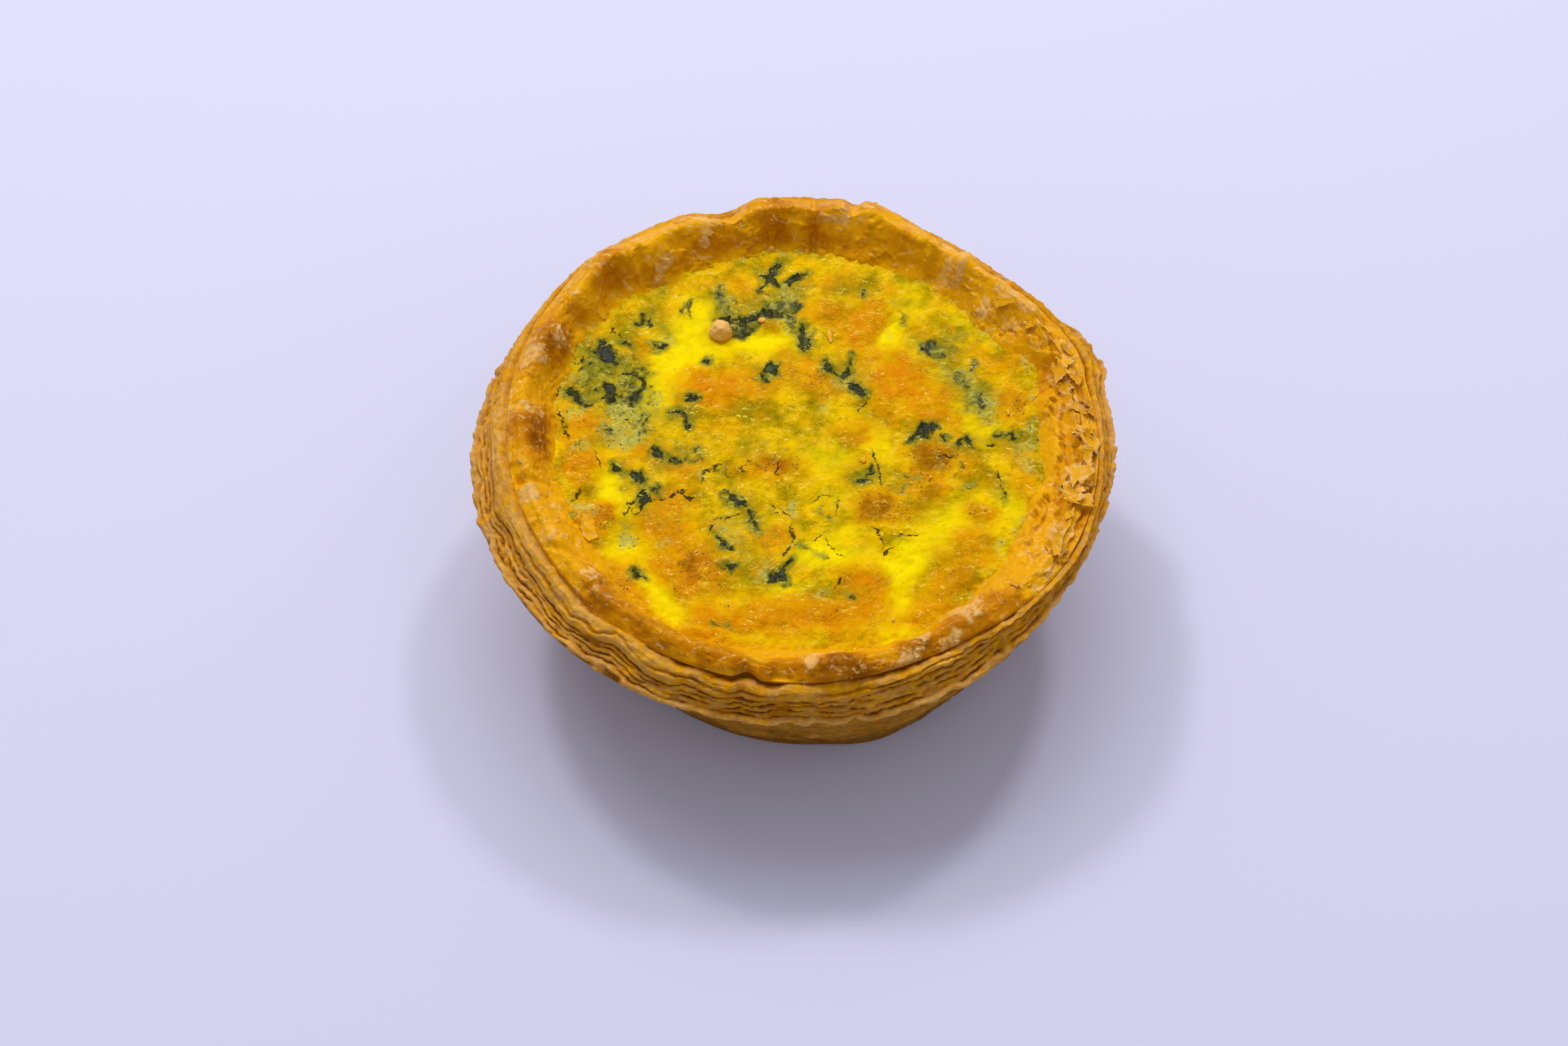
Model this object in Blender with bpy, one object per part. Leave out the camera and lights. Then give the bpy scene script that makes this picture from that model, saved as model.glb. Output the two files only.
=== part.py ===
"""A spinach quiche for one, with a deep puff pastry case baked in a tapered round tin.

Two solids: the pastry case, whose torn layers stand out round the rim, and the egg custard
that fills it to just under the rim, with leaf scraps, a crumb and a pastry flake baked on.

Metres, +Z up. The origin is on the flat base, under the middle of the rim. Azimuths are in degrees from +X,
anticlockwise seen from above: 0 is the torn flaky side, 90 the high back of the rim and
270 its low front.
"""
import math

import bmesh
import bpy
from mathutils import Matrix, Vector, noise

MM = 0.001

# Driving dimensions of the case, in millimetres.
BASE_RADIUS = 50.3
BASE_SHIFT_X = 1.8            # the foot stands a little towards the flaky side
FOOT_ROUNDING = 1.2
WALL_FOOT_HEIGHT = 1.6
WALL_THICKNESS = 5.5
FLOOR_THICKNESS = 5.0
FILL_LEVEL = 43.0             # where the custard meets the pastry
GAP = 0.3                     # left between the custard and the case

# The rim's uneven sizes in millimetres, one every COMPASS_STEP degrees from azimuth 0.
COMPASS_STEP = 30.0
EDGE_RADIUS = (69.0, 68.9, 64.9, 66.8, 67.4, 68.6, 71.2, 70.2, 68.5, 64.2, 66.6, 66.2)
EDGE_HEIGHT = (42.5, 43.0, 44.0, 45.0, 44.5, 43.5, 42.3, 41.6, 40.9, 40.8, 41.0, 41.4)
LIP_RADIUS = (65.6, 65.6, 61.9, 64.7, 64.8, 65.2, 63.4, 61.2, 59.9, 59.7, 59.2, 64.2)
LIP_HEIGHT = (46.8, 47.2, 48.4, 49.2, 48.9, 48.2, 47.2, 46.6, 45.8, 45.1, 45.4, 46.2)
CREST_RADIUS = (60.3, 60.8, 58.6, 60.4, 61.0, 61.2, 59.6, 57.6, 56.8, 56.0, 56.2, 59.6)
CREST_HEIGHT = (48.4, 49.4, 50.4, 51.0, 50.4, 49.6, 48.8, 48.0, 47.2, 46.4, 46.8, 47.6)
MOUTH_RADIUS = (52.1, 52.0, 53.6, 54.4, 54.2, 56.0, 53.4, 50.9, 53.0, 50.8, 52.2, 51.0)

# Local swellings and dips of the rim: azimuth, half width (degrees), outward, upward (mm).
RIM_MARKS = (
    (136.0, 12.0, 0.9, 0.3),
    (106.5, 8.5, -2.4, -1.6),     # dip in the back
    (79.5, 2.8, -1.2, -0.8),      # small dip beside it
    (76.0, 13.0, 2.3, 0.5),       # shoulder where the back rim turns down
    (46.0, 14.0, -0.9, -0.2),
    (260.0, 3.5, -1.8, -0.3),     # notch in the front skin
    (228.0, 6.0, 0.9, 0.2),
)
# Torn corner of the layers, teeth of its flakes, and the dent in the wall beside it.
CORNER_MARKS = ((22.0, 10.0, 2.5), (17.5, 2.6, 0.6), (28.0, 2.4, 0.8))
DENT_MARKS = ((24.0, 9.0, 2.2), (352.0, 8.0, 1.2))
FOOT_MARK = (288.0, 16.0, 1.2)     # the foot bulges a little at the front
TORN_MIDDLE = 4.0
TORN_HALF_WIDTH = 46.0

# Layers of the cut edge, between its lower corner and the lip of the top skin.
LAYER_COUNT = 5
LAYER_PROUD = 0.75
LAYER_SUNK = 0.85
LAYER_WAVE = 9.0              # wavelength of the layers' wander, in millimetres
SKIN_RIPPLE = 0.55
SKIN_WAVE = 11.0
TORN_RIPPLE = 1.1
TORN_WAVE = 5.0
CASE_STEPS = 150

# The custard: browned puffs stand up and the paler patches lie low.
# East, north, radius, height (millimetres).
PUFFS = (
    (20.0, 16.0, 11.0, 1.5), (13.0, 30.0, 8.0, 1.0), (5.0, 38.0, 9.0, 0.9),
    (-20.0, 16.0, 10.0, 1.1), (-7.0, 14.0, 9.0, 0.9), (-26.0, -17.0, 9.0, 1.2),
    (-22.0, -31.0, 9.0, 1.3), (-5.0, -6.0, 9.0, 0.9), (16.0, -16.0, 10.0, 1.0),
    (37.0, -17.0, 6.0, 1.2), (35.0, -28.0, 9.0, 1.0), (8.0, -41.0, 10.0, 1.5),
    (-14.0, -45.0, 6.0, 1.0), (-46.0, -3.0, 7.0, 0.9), (-43.0, -20.0, 6.0, 1.1),
    (28.0, 0.0, 8.0, 0.9), (45.0, 13.0, 6.0, 0.9), (43.0, 24.0, 6.0, 0.8),
    (-42.0, 22.0, 9.0, 0.9), (-28.0, 22.0, 8.0, -1.0), (-10.0, 27.0, 8.0, -0.9),
    (18.0, 25.0, 5.0, -0.7), (-41.0, -12.0, 5.0, -0.6), (-37.0, -28.0, 6.0, -0.8),
    (30.0, -20.0, 6.0, -0.6), (20.0, -35.0, 7.0, -1.0), (20.0, -45.0, 4.0, -0.7),
)
CUSTARD_STEPS = 100
CUSTARD_RINGS = 14
CUSTARD_RIPPLE = 0.28
CUSTARD_WAVE = 7.0

# Scraps of spinach: east, north, length, width (millimetres), heading (degrees).
LEAVES = (
    (-43.0, 24.5, 11.0, 5.0, -50.0), (-49.5, 12.5, 7.5, 2.4, -32.0), (-37.0, 15.0, 9.0, 3.6, 78.0),
    (-9.0, 36.0, 12.0, 4.4, 18.0), (-16.0, 32.5, 6.0, 3.4, 30.0), (0.4, 30.0, 8.0, 3.4, -78.0),
    (-6.5, 47.0, 8.0, 2.6, -55.0), (8.5, 20.0, 8.0, 3.6, -40.0), (-7.0, 20.0, 5.0, 3.4, 85.0),
    (29.0, 27.0, 6.0, 4.6, -30.0), (26.5, 3.6, 6.0, 3.0, 32.0), (35.0, 1.2, 5.0, 3.2, 12.0),
    (-30.0, -2.6, 4.4, 3.0, -60.0), (-22.5, -1.8, 4.0, 3.4, 0.0), (-35.5, -8.0, 6.5, 2.6, -50.0),
    (-32.5, -13.0, 4.4, 3.0, 20.0), (13.6, -7.6, 5.6, 2.8, 55.0), (-9.2, -18.6, 6.4, 2.6, -66.0),
    (-4.0, -33.0, 5.6, 3.4, 52.0),
)
LEAF_PROUD = 0.45
LEAF_SUNK = 1.1
LEAF_CELLS = (4, 2)

# The pale pastry flake and the round crumb that were baked onto the custard.
FLAKE = (-43.4, -21.4, 6.4, 3.2, -68.0)
FLAKE_PROUD = 0.6
CRUMB_PLACE = (-18.0, 31.0)
CRUMB_RADIUS = 2.4
CRUMB_LIFT = 1.0

PASTRY_COLOUR = (0.55, 0.29, 0.05, 1.0)
CUSTARD_COLOUR = (0.72, 0.42, 0.02, 1.0)


def around(sizes, azimuth):
    """Return the size at an azimuth, on a smooth closed curve through the compass sizes."""
    count = len(sizes)
    turn = (azimuth % 360.0) / COMPASS_STEP
    index = int(turn)
    t = turn - index
    before, start, end, after = (sizes[(index + k) % count] for k in (-1, 0, 1, 2))
    rise, fall = (end - before) / 2.0, (after - start) / 2.0
    return (start * (2 * t**3 - 3 * t**2 + 1) + rise * (t**3 - 2 * t**2 + t)
            + end * (3 * t**2 - 2 * t**3) + fall * (t**3 - t**2))


def swell(azimuth, middle, half_width):
    """Return 1 at the middle azimuth, falling smoothly to 0 at half_width from it."""
    off = abs((azimuth - middle + 180.0) % 360.0 - 180.0)
    return 0.5 + 0.5 * math.cos(math.pi * off / half_width) if off < half_width else 0.0


def wander(radius, azimuth, height, wavelength):
    """Return smooth noise between about -1 and 1 for a place on the case."""
    angle = math.radians(azimuth)
    place = Vector((radius * math.cos(angle), radius * math.sin(angle), height))
    return 1.6 * noise.noise(place / wavelength)


def torn(azimuth):
    """Return how torn the top skin is at an azimuth, from 0 to 1."""
    return min(1.0, 1.8 * swell(azimuth, TORN_MIDDLE, TORN_HALF_WIDTH))


def rim_mark(azimuth):
    """Return how far the local marks move the lip outward and upward."""
    weights = [(swell(azimuth, middle, width), out, up) for middle, width, out, up in RIM_MARKS]
    return sum(w * out for w, out, _ in weights), sum(w * up for w, _, up in weights)


def mouth_radius(azimuth):
    """Return the radius at which the custard meets the pastry."""
    return around(MOUTH_RADIUS, azimuth) + sum(
        depth * swell(azimuth, middle, width) for middle, width, depth in DENT_MARKS)


def floor_radius():
    """Return the radius of the case's inner floor."""
    return BASE_RADIUS - WALL_THICKNESS


def layered_edge(azimuth, corner, lip):
    """Return the section of the cut edge, as layers that stand out between sunk gaps.

    corner and lip are the (radius, height) of its lower and upper ends.
    """
    run, rise = lip[0] - corner[0], lip[1] - corner[1]
    length = math.hypot(run, rise)
    out, up = rise / length, -run / length
    section = []
    for layer in range(LAYER_COUNT):
        for part, offset in ((0.3, LAYER_PROUD), (0.85, -LAYER_SUNK)):
            t = (layer + part) / LAYER_COUNT
            radius, height = corner[0] + t * run, corner[1] + t * rise
            offset *= 1.0 + 0.6 * wander(radius, azimuth, 40.0 * t, LAYER_WAVE)
            section.append((radius + out * offset, height + up * offset))
    return section


def case_section(azimuth):
    """Return the case's section at an azimuth as (radius, height) points.

    It runs from the foot up the outer wall, over the rim and down the inner wall to the floor.
    """
    out, up = rim_mark(azimuth)
    corner_out = sum(size * swell(azimuth, middle, width) for middle, width, size in CORNER_MARKS)
    tear = torn(azimuth)
    edge = (around(EDGE_RADIUS, azimuth) + corner_out, around(EDGE_HEIGHT, azimuth))
    lip = (around(LIP_RADIUS, azimuth) + out + 0.5 * corner_out, around(LIP_HEIGHT, azimuth) + up)
    crest = (around(CREST_RADIUS, azimuth) + 0.6 * out, around(CREST_HEIGHT, azimuth) + up)
    mouth = mouth_radius(azimuth)

    wall_top = (edge[0] - 3.4, edge[1] - 3.6)
    bow = 0.5 * wander(BASE_RADIUS, azimuth, 20.0, 30.0)
    foot = BASE_RADIUS + FOOT_MARK[2] * swell(azimuth, *FOOT_MARK[:2])
    section = [(foot - FOOT_ROUNDING, 0.0), (foot, WALL_FOOT_HEIGHT)]
    for share in (0.45, 0.8):
        section.append((foot + share * (wall_top[0] - foot) + bow,
                        WALL_FOOT_HEIGHT + share * (wall_top[1] - WALL_FOOT_HEIGHT)))
    section += [wall_top, (edge[0] - 0.6, edge[1] - 1.4)]
    section += layered_edge(azimuth, edge, (lip[0] - 0.5, lip[1] - 1.3))
    section.append((lip[0] + 0.5, lip[1] - 0.5))

    # The skin over the top: ripples, and crumbs where it is torn away.
    for radius, height in ((0.55 * lip[0] + 0.45 * crest[0], 0.4 * lip[1] + 0.6 * crest[1]),
                           crest,
                           (0.6 * crest[0] + 0.4 * mouth, 0.62 * crest[1] + 0.38 * FILL_LEVEL)):
        ripple = SKIN_RIPPLE * wander(radius, azimuth, height, SKIN_WAVE)
        ripple += tear * TORN_RIPPLE * wander(radius, azimuth, height, TORN_WAVE)
        section.append((radius, height + ripple - 0.8 * tear))
    section += [(mouth + 1.2, FILL_LEVEL + 1.6), (mouth, FILL_LEVEL + 0.2),
                (mouth, FILL_LEVEL - 2.0), (floor_radius(), FLOOR_THICKNESS)]
    return section


def puff_height(east, north):
    """Return the height of the custard's surface, in millimetres."""
    height = FILL_LEVEL - 0.3
    for puff_east, puff_north, radius, rise in PUFFS:
        reach = math.hypot(east - puff_east, north - puff_north) / radius
        if reach < 1.0:
            height += rise * (0.5 + 0.5 * math.cos(math.pi * reach))
    place = Vector((east, north, 0.0))
    return height + CUSTARD_RIPPLE * noise.noise(place / CUSTARD_WAVE) * 2.0


def custard_section(azimuth):
    """Return the custard's section: the side from the floor up, then rings to the middle."""
    mouth = mouth_radius(azimuth) - GAP
    angle = math.radians(azimuth)
    section = [(floor_radius() - 2 * GAP, FLOOR_THICKNESS + GAP), (mouth - 0.1, FILL_LEVEL - 2.0)]
    for ring in range(CUSTARD_RINGS):
        radius = mouth * (1.0 - ring / CUSTARD_RINGS)
        height = puff_height(radius * math.cos(angle), radius * math.sin(angle))
        if ring == 0:
            height = FILL_LEVEL - 0.3
        section.append((radius, height))
    return section


def spun_solid(name, section_at, steps, shift_at, top_height, bottom_height):
    """Spin a section about Z, close it at both poles, then shape it at every azimuth.

    section_at gives the (radius, height) points at an azimuth, and shift_at how far a point of
    that height lies towards +X. Sizes are in millimetres.
    """
    shape = bmesh.new()
    station = shape.verts.layers.int.new("station")
    profile = [(0.0, bottom_height)] + section_at(0.0) + [(0.0, top_height)]
    verts = []
    for index, (radius, height) in enumerate(profile):
        vert = shape.verts.new((radius, 0.0, height))
        vert[station] = index
        verts.append(vert)
    edges = [shape.edges.new(pair) for pair in zip(verts, verts[1:])]
    bmesh.ops.spin(shape, geom=verts + edges, cent=(0, 0, 0), axis=(0, 0, 1),
                   angle=math.tau, steps=steps, use_merge=True)
    bmesh.ops.remove_doubles(shape, verts=shape.verts, dist=1e-4)

    sections = {}
    last = len(profile) - 1
    for vert in shape.verts:
        index = vert[station]
        if index in (0, last):
            vert.co.x += shift_at(vert.co.z)
            continue
        azimuth = round(math.degrees(math.atan2(vert.co.y, vert.co.x)) % 360.0, 3)
        if azimuth not in sections:
            sections[azimuth] = section_at(azimuth)
        radius, height = sections[azimuth][index - 1]
        angle = math.radians(azimuth)
        vert.co = (radius * math.cos(angle) + shift_at(height), radius * math.sin(angle), height)

    bmesh.ops.triangulate(shape, faces=shape.faces)
    bmesh.ops.recalc_face_normals(shape, faces=shape.faces)
    bmesh.ops.scale(shape, vec=(MM, MM, MM), verts=shape.verts)
    mesh = bpy.data.meshes.new(name)
    shape.to_mesh(mesh)
    shape.free()
    mesh.shade_smooth()
    mesh.set_sharp_from_angle(angle=math.radians(50))
    solid = bpy.data.objects.new(name, mesh)
    bpy.context.scene.collection.objects.link(solid)
    return solid


def base_shift(height):
    """Return how far the case leans towards +X at a height: all at the foot, none at the rim."""
    return BASE_SHIFT_X * max(0.0, 1.0 - height / (FILL_LEVEL - 2.0))


def pastry_material(name, colour, roughness):
    """Return a plain Principled material."""
    material = bpy.data.materials.new(name)
    material.use_nodes = True
    shader = material.node_tree.nodes["Principled BSDF"]
    shader.inputs["Base Color"].default_value = colour
    shader.inputs["Roughness"].default_value = roughness
    shader.inputs["Metallic"].default_value = 0.0
    return material


def surface_scrap(name, east, north, length, width, heading, proud):
    """Make a thin wavy scrap that lies on the custard, sunk deep enough to fuse with it."""
    shape = bmesh.new()
    along, across = LEAF_CELLS
    turn = Matrix.Rotation(math.radians(heading), 3, "Z")
    rows = []
    for level in (-LEAF_SUNK, proud):
        for i in range(along + 1):
            for j in range(across + 1):
                u, v = 2.0 * i / along - 1.0, 2.0 * j / across - 1.0
                taper = 1.0 - 0.45 * u * u
                local = Vector((u * length / 2, v * taper * width / 2 + 0.12 * length * u * u, 0))
                place = turn @ local + Vector((east, north, 0))
                wave = 0.2 * math.sin(3.0 * u + east) if level > 0 else 0.0
                place.z = puff_height(place.x, place.y) + level + wave
                rows.append(shape.verts.new(place))
    half = (along + 1) * (across + 1)

    def at(level, i, j):
        return rows[level * half + i * (across + 1) + j]

    for level in (0, 1):
        for i in range(along):
            for j in range(across):
                a, b = at(level, i, j), at(level, i + 1, j)
                c, d = at(level, i + 1, j + 1), at(level, i, j + 1)
                shape.faces.new((a, b, c))
                shape.faces.new((a, c, d))
    border = ([(i, 0) for i in range(along)] + [(along, j) for j in range(across)]
              + [(i, across) for i in range(along, 0, -1)] + [(0, j) for j in range(across, 0, -1)])
    for (i, j), (k, m) in zip(border, border[1:] + border[:1]):
        shape.faces.new((at(0, i, j), at(0, k, m), at(1, k, m), at(1, i, j)))
    bmesh.ops.recalc_face_normals(shape, faces=shape.faces)
    bmesh.ops.scale(shape, vec=(MM, MM, MM), verts=shape.verts)
    mesh = bpy.data.meshes.new(name)
    shape.to_mesh(mesh)
    shape.free()
    return bpy.data.objects.new(name, mesh)


def crumb():
    """Make the round crumb that sits on the custard."""
    shape = bmesh.new()
    bmesh.ops.create_icosphere(shape, subdivisions=2, radius=CRUMB_RADIUS)
    for vert in shape.verts:
        vert.co *= 1.0 + 0.12 * noise.noise(vert.co * 0.9)
    east, north = CRUMB_PLACE
    lift = puff_height(east, north) + CRUMB_LIFT
    bmesh.ops.translate(shape, vec=(east, north, lift), verts=shape.verts)
    bmesh.ops.scale(shape, vec=(MM, MM, MM), verts=shape.verts)
    mesh = bpy.data.meshes.new("crumb")
    shape.to_mesh(mesh)
    shape.free()
    return bpy.data.objects.new("crumb", mesh)


def fuse_toppings(custard, toppings):
    """Join the toppings to the custard with one union, and remove their objects."""
    heap = bpy.data.collections.new("toppings")
    bpy.context.scene.collection.children.link(heap)
    for topping in toppings:
        heap.objects.link(topping)
    union = custard.modifiers.new("toppings", "BOOLEAN")
    union.operation = "UNION"
    union.operand_type = "COLLECTION"
    union.collection = heap
    union.solver = "EXACT"
    bpy.context.view_layer.objects.active = custard
    bpy.ops.object.modifier_apply(modifier=union.name)
    for topping in toppings:
        bpy.data.objects.remove(topping, do_unlink=True)
    bpy.data.collections.remove(heap)


def build():
    """Build the pastry case and its custard."""
    for leftover in list(bpy.data.objects):
        bpy.data.objects.remove(leftover, do_unlink=True)

    case = spun_solid("pastry_crust", case_section, CASE_STEPS, base_shift,
                      top_height=FLOOR_THICKNESS, bottom_height=0.0)
    case.data.materials.append(pastry_material("pastry", PASTRY_COLOUR, 0.55))

    custard = spun_solid("custard_filling", custard_section, CUSTARD_STEPS, base_shift,
                         top_height=puff_height(0.0, 0.0), bottom_height=FLOOR_THICKNESS + GAP)
    custard.data.materials.append(pastry_material("custard", CUSTARD_COLOUR, 0.35))

    toppings = [surface_scrap(f"leaf_{index:02d}", *leaf, LEAF_PROUD)
                for index, leaf in enumerate(LEAVES)]
    toppings.append(surface_scrap("flake", *FLAKE, FLAKE_PROUD))
    toppings.append(crumb())
    fuse_toppings(custard, toppings)


build()
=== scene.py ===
"""The looks of a spinach quiche: a flaky puff pastry case filled with browned egg custard.

Places are in millimetres until they go into a mesh. East is +X and north is +Y, and azimuths are
in degrees from east, anticlockwise seen from above.
"""
from __future__ import annotations

import logging
import math
from dataclasses import dataclass, field
from enum import Enum

import bpy
import numpy as np
from mathutils import Matrix, Vector

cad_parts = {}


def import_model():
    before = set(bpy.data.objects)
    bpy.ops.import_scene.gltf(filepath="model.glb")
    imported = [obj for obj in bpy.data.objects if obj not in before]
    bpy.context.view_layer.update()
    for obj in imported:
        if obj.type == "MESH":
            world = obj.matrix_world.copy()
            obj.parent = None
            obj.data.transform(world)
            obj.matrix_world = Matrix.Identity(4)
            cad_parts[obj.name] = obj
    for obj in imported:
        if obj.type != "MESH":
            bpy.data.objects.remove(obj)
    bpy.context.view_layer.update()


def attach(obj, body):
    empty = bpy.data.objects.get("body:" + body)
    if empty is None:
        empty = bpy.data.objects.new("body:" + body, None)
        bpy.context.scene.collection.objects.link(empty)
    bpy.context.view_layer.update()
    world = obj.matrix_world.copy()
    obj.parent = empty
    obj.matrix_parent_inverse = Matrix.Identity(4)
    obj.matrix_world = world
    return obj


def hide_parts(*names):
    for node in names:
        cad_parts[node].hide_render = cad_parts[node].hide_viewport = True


LOG = logging.getLogger("quiche")
MM = 0.001
MERGE_WITHIN = 1e-6
BODY = "root"
Array = np.ndarray
Piece = bpy.types.Object
Finish = bpy.types.Material
Colour = tuple[float, float, float, float]


def tone(red: int, green: int, blue: int) -> Colour:
    """Return a colour given as 0 to 255 screen values in Blender's linear values."""
    parts = [value / 255.0 for value in (red, green, blue)]
    linear = [p / 12.92 if p <= 0.04045 else ((p + 0.055) / 1.055) ** 2.4 for p in parts]
    return (linear[0], linear[1], linear[2], 1.0)


def ramp(low: float, high: float, value: Array) -> Array:
    """Return 0 at or below low, 1 at or above high, and a smooth rise between them."""
    share = np.clip((value - low) / (high - low), 0.0, 1.0)
    return share * share * (3.0 - 2.0 * share)


def circle_place(radius: Array, azimuth: Array, height: Array) -> Array:
    """Return the places at a radius, azimuth and height, as rows of east, north and up."""
    angle = np.radians(azimuth)
    return np.stack(np.broadcast_arrays(radius * np.cos(angle), radius * np.sin(angle), height), -1)


def smooth_between(before: Array, start: Array, end: Array, after: Array, t: Array) -> Array:
    """Return places a share t of the way from start to end, on a smooth curve through all four."""
    rise, fall = (end - before) / 2.0, (after - start) / 2.0
    return (start * (2 * t**3 - 3 * t**2 + 1) + rise * (t**3 - 2 * t**2 + t)
            + end * (3 * t**2 - 2 * t**3) + fall * (t**3 - t**2))


class Grain:
    """Repeatable smooth noise over places, from a seed."""

    def __init__(self, seed: int) -> None:
        """Draw the noise's directions.

        Args:
            seed: the number that the noise is drawn from.
        """
        draw = np.random.default_rng(seed)
        order = draw.permutation(256)
        self.order = np.concatenate([order, order])
        directions = draw.normal(size=(256, 3))
        self.directions = directions / np.linalg.norm(directions, axis=1)[:, None]

    def at(self, places: Array, size: float | Array) -> Array:
        """Return noise of about -1 to 1.

        Args:
            places: rows of east, north and up.
            size: how far apart its swells are, one number or one for each direction.

        Returns:
            One value for each place.
        """
        spot = places / size
        cell = np.floor(spot).astype(np.int64)
        part = spot - cell
        fade = part * part * part * (part * (part * 6.0 - 15.0) + 10.0)
        total = np.zeros(places.shape[:-1])
        for corner in range(8):
            step = np.array([corner & 1, corner >> 1 & 1, corner >> 2 & 1])
            index = (cell + step) & 255
            pick = self.order[self.order[self.order[index[..., 0]] + index[..., 1]] + index[..., 2]]
            away = part - step
            value = (self.directions[pick] * away).sum(-1)
            total += value * np.prod(np.where(step == 1, fade, 1.0 - fade), axis=-1)
        return 1.7 * total

    def rough(self, places: Array, size: float, octaves: int = 4, gain: float = 0.5) -> Array:
        """Return noise with finer noise laid over it.

        Args:
            places: rows of east, north and up.
            size: how far apart the largest swells are.
            octaves: how many sizes of noise there are, each half the last.
            gain: how strong each size is, against the last.

        Returns:
            One value for each place, about -1 to 1.
        """
        total = np.zeros(places.shape[:-1])
        strength = 1.0
        weight = 0.0
        for octave in range(octaves):
            total += strength * self.at(places + 37.7 * octave, size / 2**octave)
            weight += strength
            strength *= gain
        return total / weight * 1.4

    def push(self, places: Array, far: float, size: float, octaves: int, gain: float, *seeds: float) -> Array:
        """Return places pushed east and north by noise, with a seed for each way."""
        east, north = (self.rough(places + seed, size, octaves, gain) for seed in seeds)
        return places + far * np.stack([east, north, np.zeros_like(east)], -1)


class Make:
    """Small steps of modelling that every piece shares."""

    @staticmethod
    def deselect() -> None:
        """Leave edit mode, and leave nothing selected."""
        if bpy.context.mode != "OBJECT":
            bpy.ops.object.mode_set(mode="OBJECT")
        bpy.ops.object.select_all(action="DESELECT")

    @staticmethod
    def adopt(name: str) -> Piece:
        """Name the active piece, and return it."""
        piece = bpy.context.active_object
        piece.name = name
        piece.data.name = name
        return piece

    @staticmethod
    def edit(piece: Piece, kind: str = "VERT", action: str = "SELECT") -> None:
        """Enter edit mode on one piece alone, and select or deselect all of one kind of its parts."""
        Make.deselect()
        piece.select_set(True)
        bpy.context.view_layer.objects.active = piece
        bpy.ops.object.mode_set(mode="EDIT")
        bpy.ops.mesh.select_mode(type=kind)
        bpy.ops.mesh.select_all(action=action)

    @staticmethod
    def pick(piece: Piece, kind: str, chosen: Array) -> None:
        """Enter edit mode on one piece with only the chosen ones of its edges or faces selected."""
        Make.edit(piece, kind, "DESELECT")
        bpy.ops.object.mode_set(mode="OBJECT")
        parts = piece.data.edges if kind == "EDGE" else piece.data.polygons
        parts.foreach_set("select", chosen)
        bpy.ops.object.mode_set(mode="EDIT")

    @staticmethod
    def read(parts: bpy.types.bpy_prop_collection, name: str, each: int = 1, kind: type = np.int32) -> Array:
        """Return a value of every part of a mesh in one row, with so many numbers for each."""
        row = np.empty(each * len(parts), dtype=kind)
        parts.foreach_get(name, row)
        return row

    @staticmethod
    def places(piece: Piece) -> Array:
        """Return a piece's vertices in millimetres."""
        return Make.read(piece.data.vertices, "co", 3, float).reshape(-1, 3) / MM

    @staticmethod
    def move(piece: Piece, places: Array) -> None:
        """Put a piece's vertices at places in millimetres."""
        piece.data.vertices.foreach_set("co", (places * MM).ravel())
        piece.data.update()

    @staticmethod
    def paint(piece: Piece, masks: dict[str, Array | float]) -> None:
        """Store masks on the vertices, each under the name by which a finish reads it."""
        for name, values in masks.items():
            layer = piece.data.attributes.new(name, "FLOAT", "POINT")
            spread = np.broadcast_to(values, len(layer.data))
            layer.data.foreach_set("value", np.ascontiguousarray(spread, dtype=np.float32))

    @staticmethod
    def thicken(piece: Piece, thickness: float, offset: float = 0.0) -> None:
        """Give a sheet a thickness in millimetres, about its middle or, at -1, below it."""
        wall = piece.modifiers.new("thickness", "SOLIDIFY")
        wall.thickness = thickness * MM
        wall.offset = offset
        bpy.ops.object.modifier_apply(modifier=wall.name)

    @staticmethod
    def copies(first: Piece, count: int) -> list[Piece]:
        """Return a piece and its copies, count in all, each with a mesh of its own."""
        pieces = [first]
        for index in range(1, count):
            copy = first.copy()
            copy.data = first.data.copy()
            copy.name = f"{first.name}_{index}"
            bpy.context.scene.collection.objects.link(copy)
            pieces.append(copy)
        return pieces

    @staticmethod
    def join(pieces: list[Piece], name: str) -> Piece:
        """Join pieces into one and name it."""
        Make.deselect()
        for piece in pieces:
            piece.select_set(True)
        bpy.context.view_layer.objects.active = pieces[0]
        bpy.ops.object.join()
        return Make.adopt(name)

    @staticmethod
    def seal(piece: Piece) -> None:
        """Merge a piece's doubled points and turn all of its faces outwards."""
        Make.edit(piece, "EDGE")
        bpy.ops.mesh.remove_doubles(threshold=MERGE_WITHIN)
        bpy.ops.mesh.normals_make_consistent(inside=False)
        bpy.ops.object.mode_set(mode="OBJECT")

    @staticmethod
    def refine(piece: Piece, rows: Array, cuts: int) -> None:
        """Cut each edge that joins two vertices of the same row, cuts times."""
        ends = Make.read(piece.data.edges, "vertices", 2)
        Make.pick(piece, "EDGE", rows[ends[0::2]] == rows[ends[1::2]])
        bpy.ops.mesh.subdivide(number_cuts=cuts)
        bpy.ops.object.mode_set(mode="OBJECT")

    @staticmethod
    def dress(piece: Piece, finish: Finish, slot: str, node: str) -> None:
        """Give a piece its finish and tell the frame what it rides on and replaces.

        Args:
            piece: the finished mesh.
            finish: its material.
            slot: not used.
            node: the solid that it stands for.
        """
        piece.data.materials.clear()
        piece.data.materials.append(finish)
        piece.data.shade_smooth()
        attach(piece, BODY)
        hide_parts(node)
        LOG.info("%s: %d faces", piece.name, len(piece.data.polygons))


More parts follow.
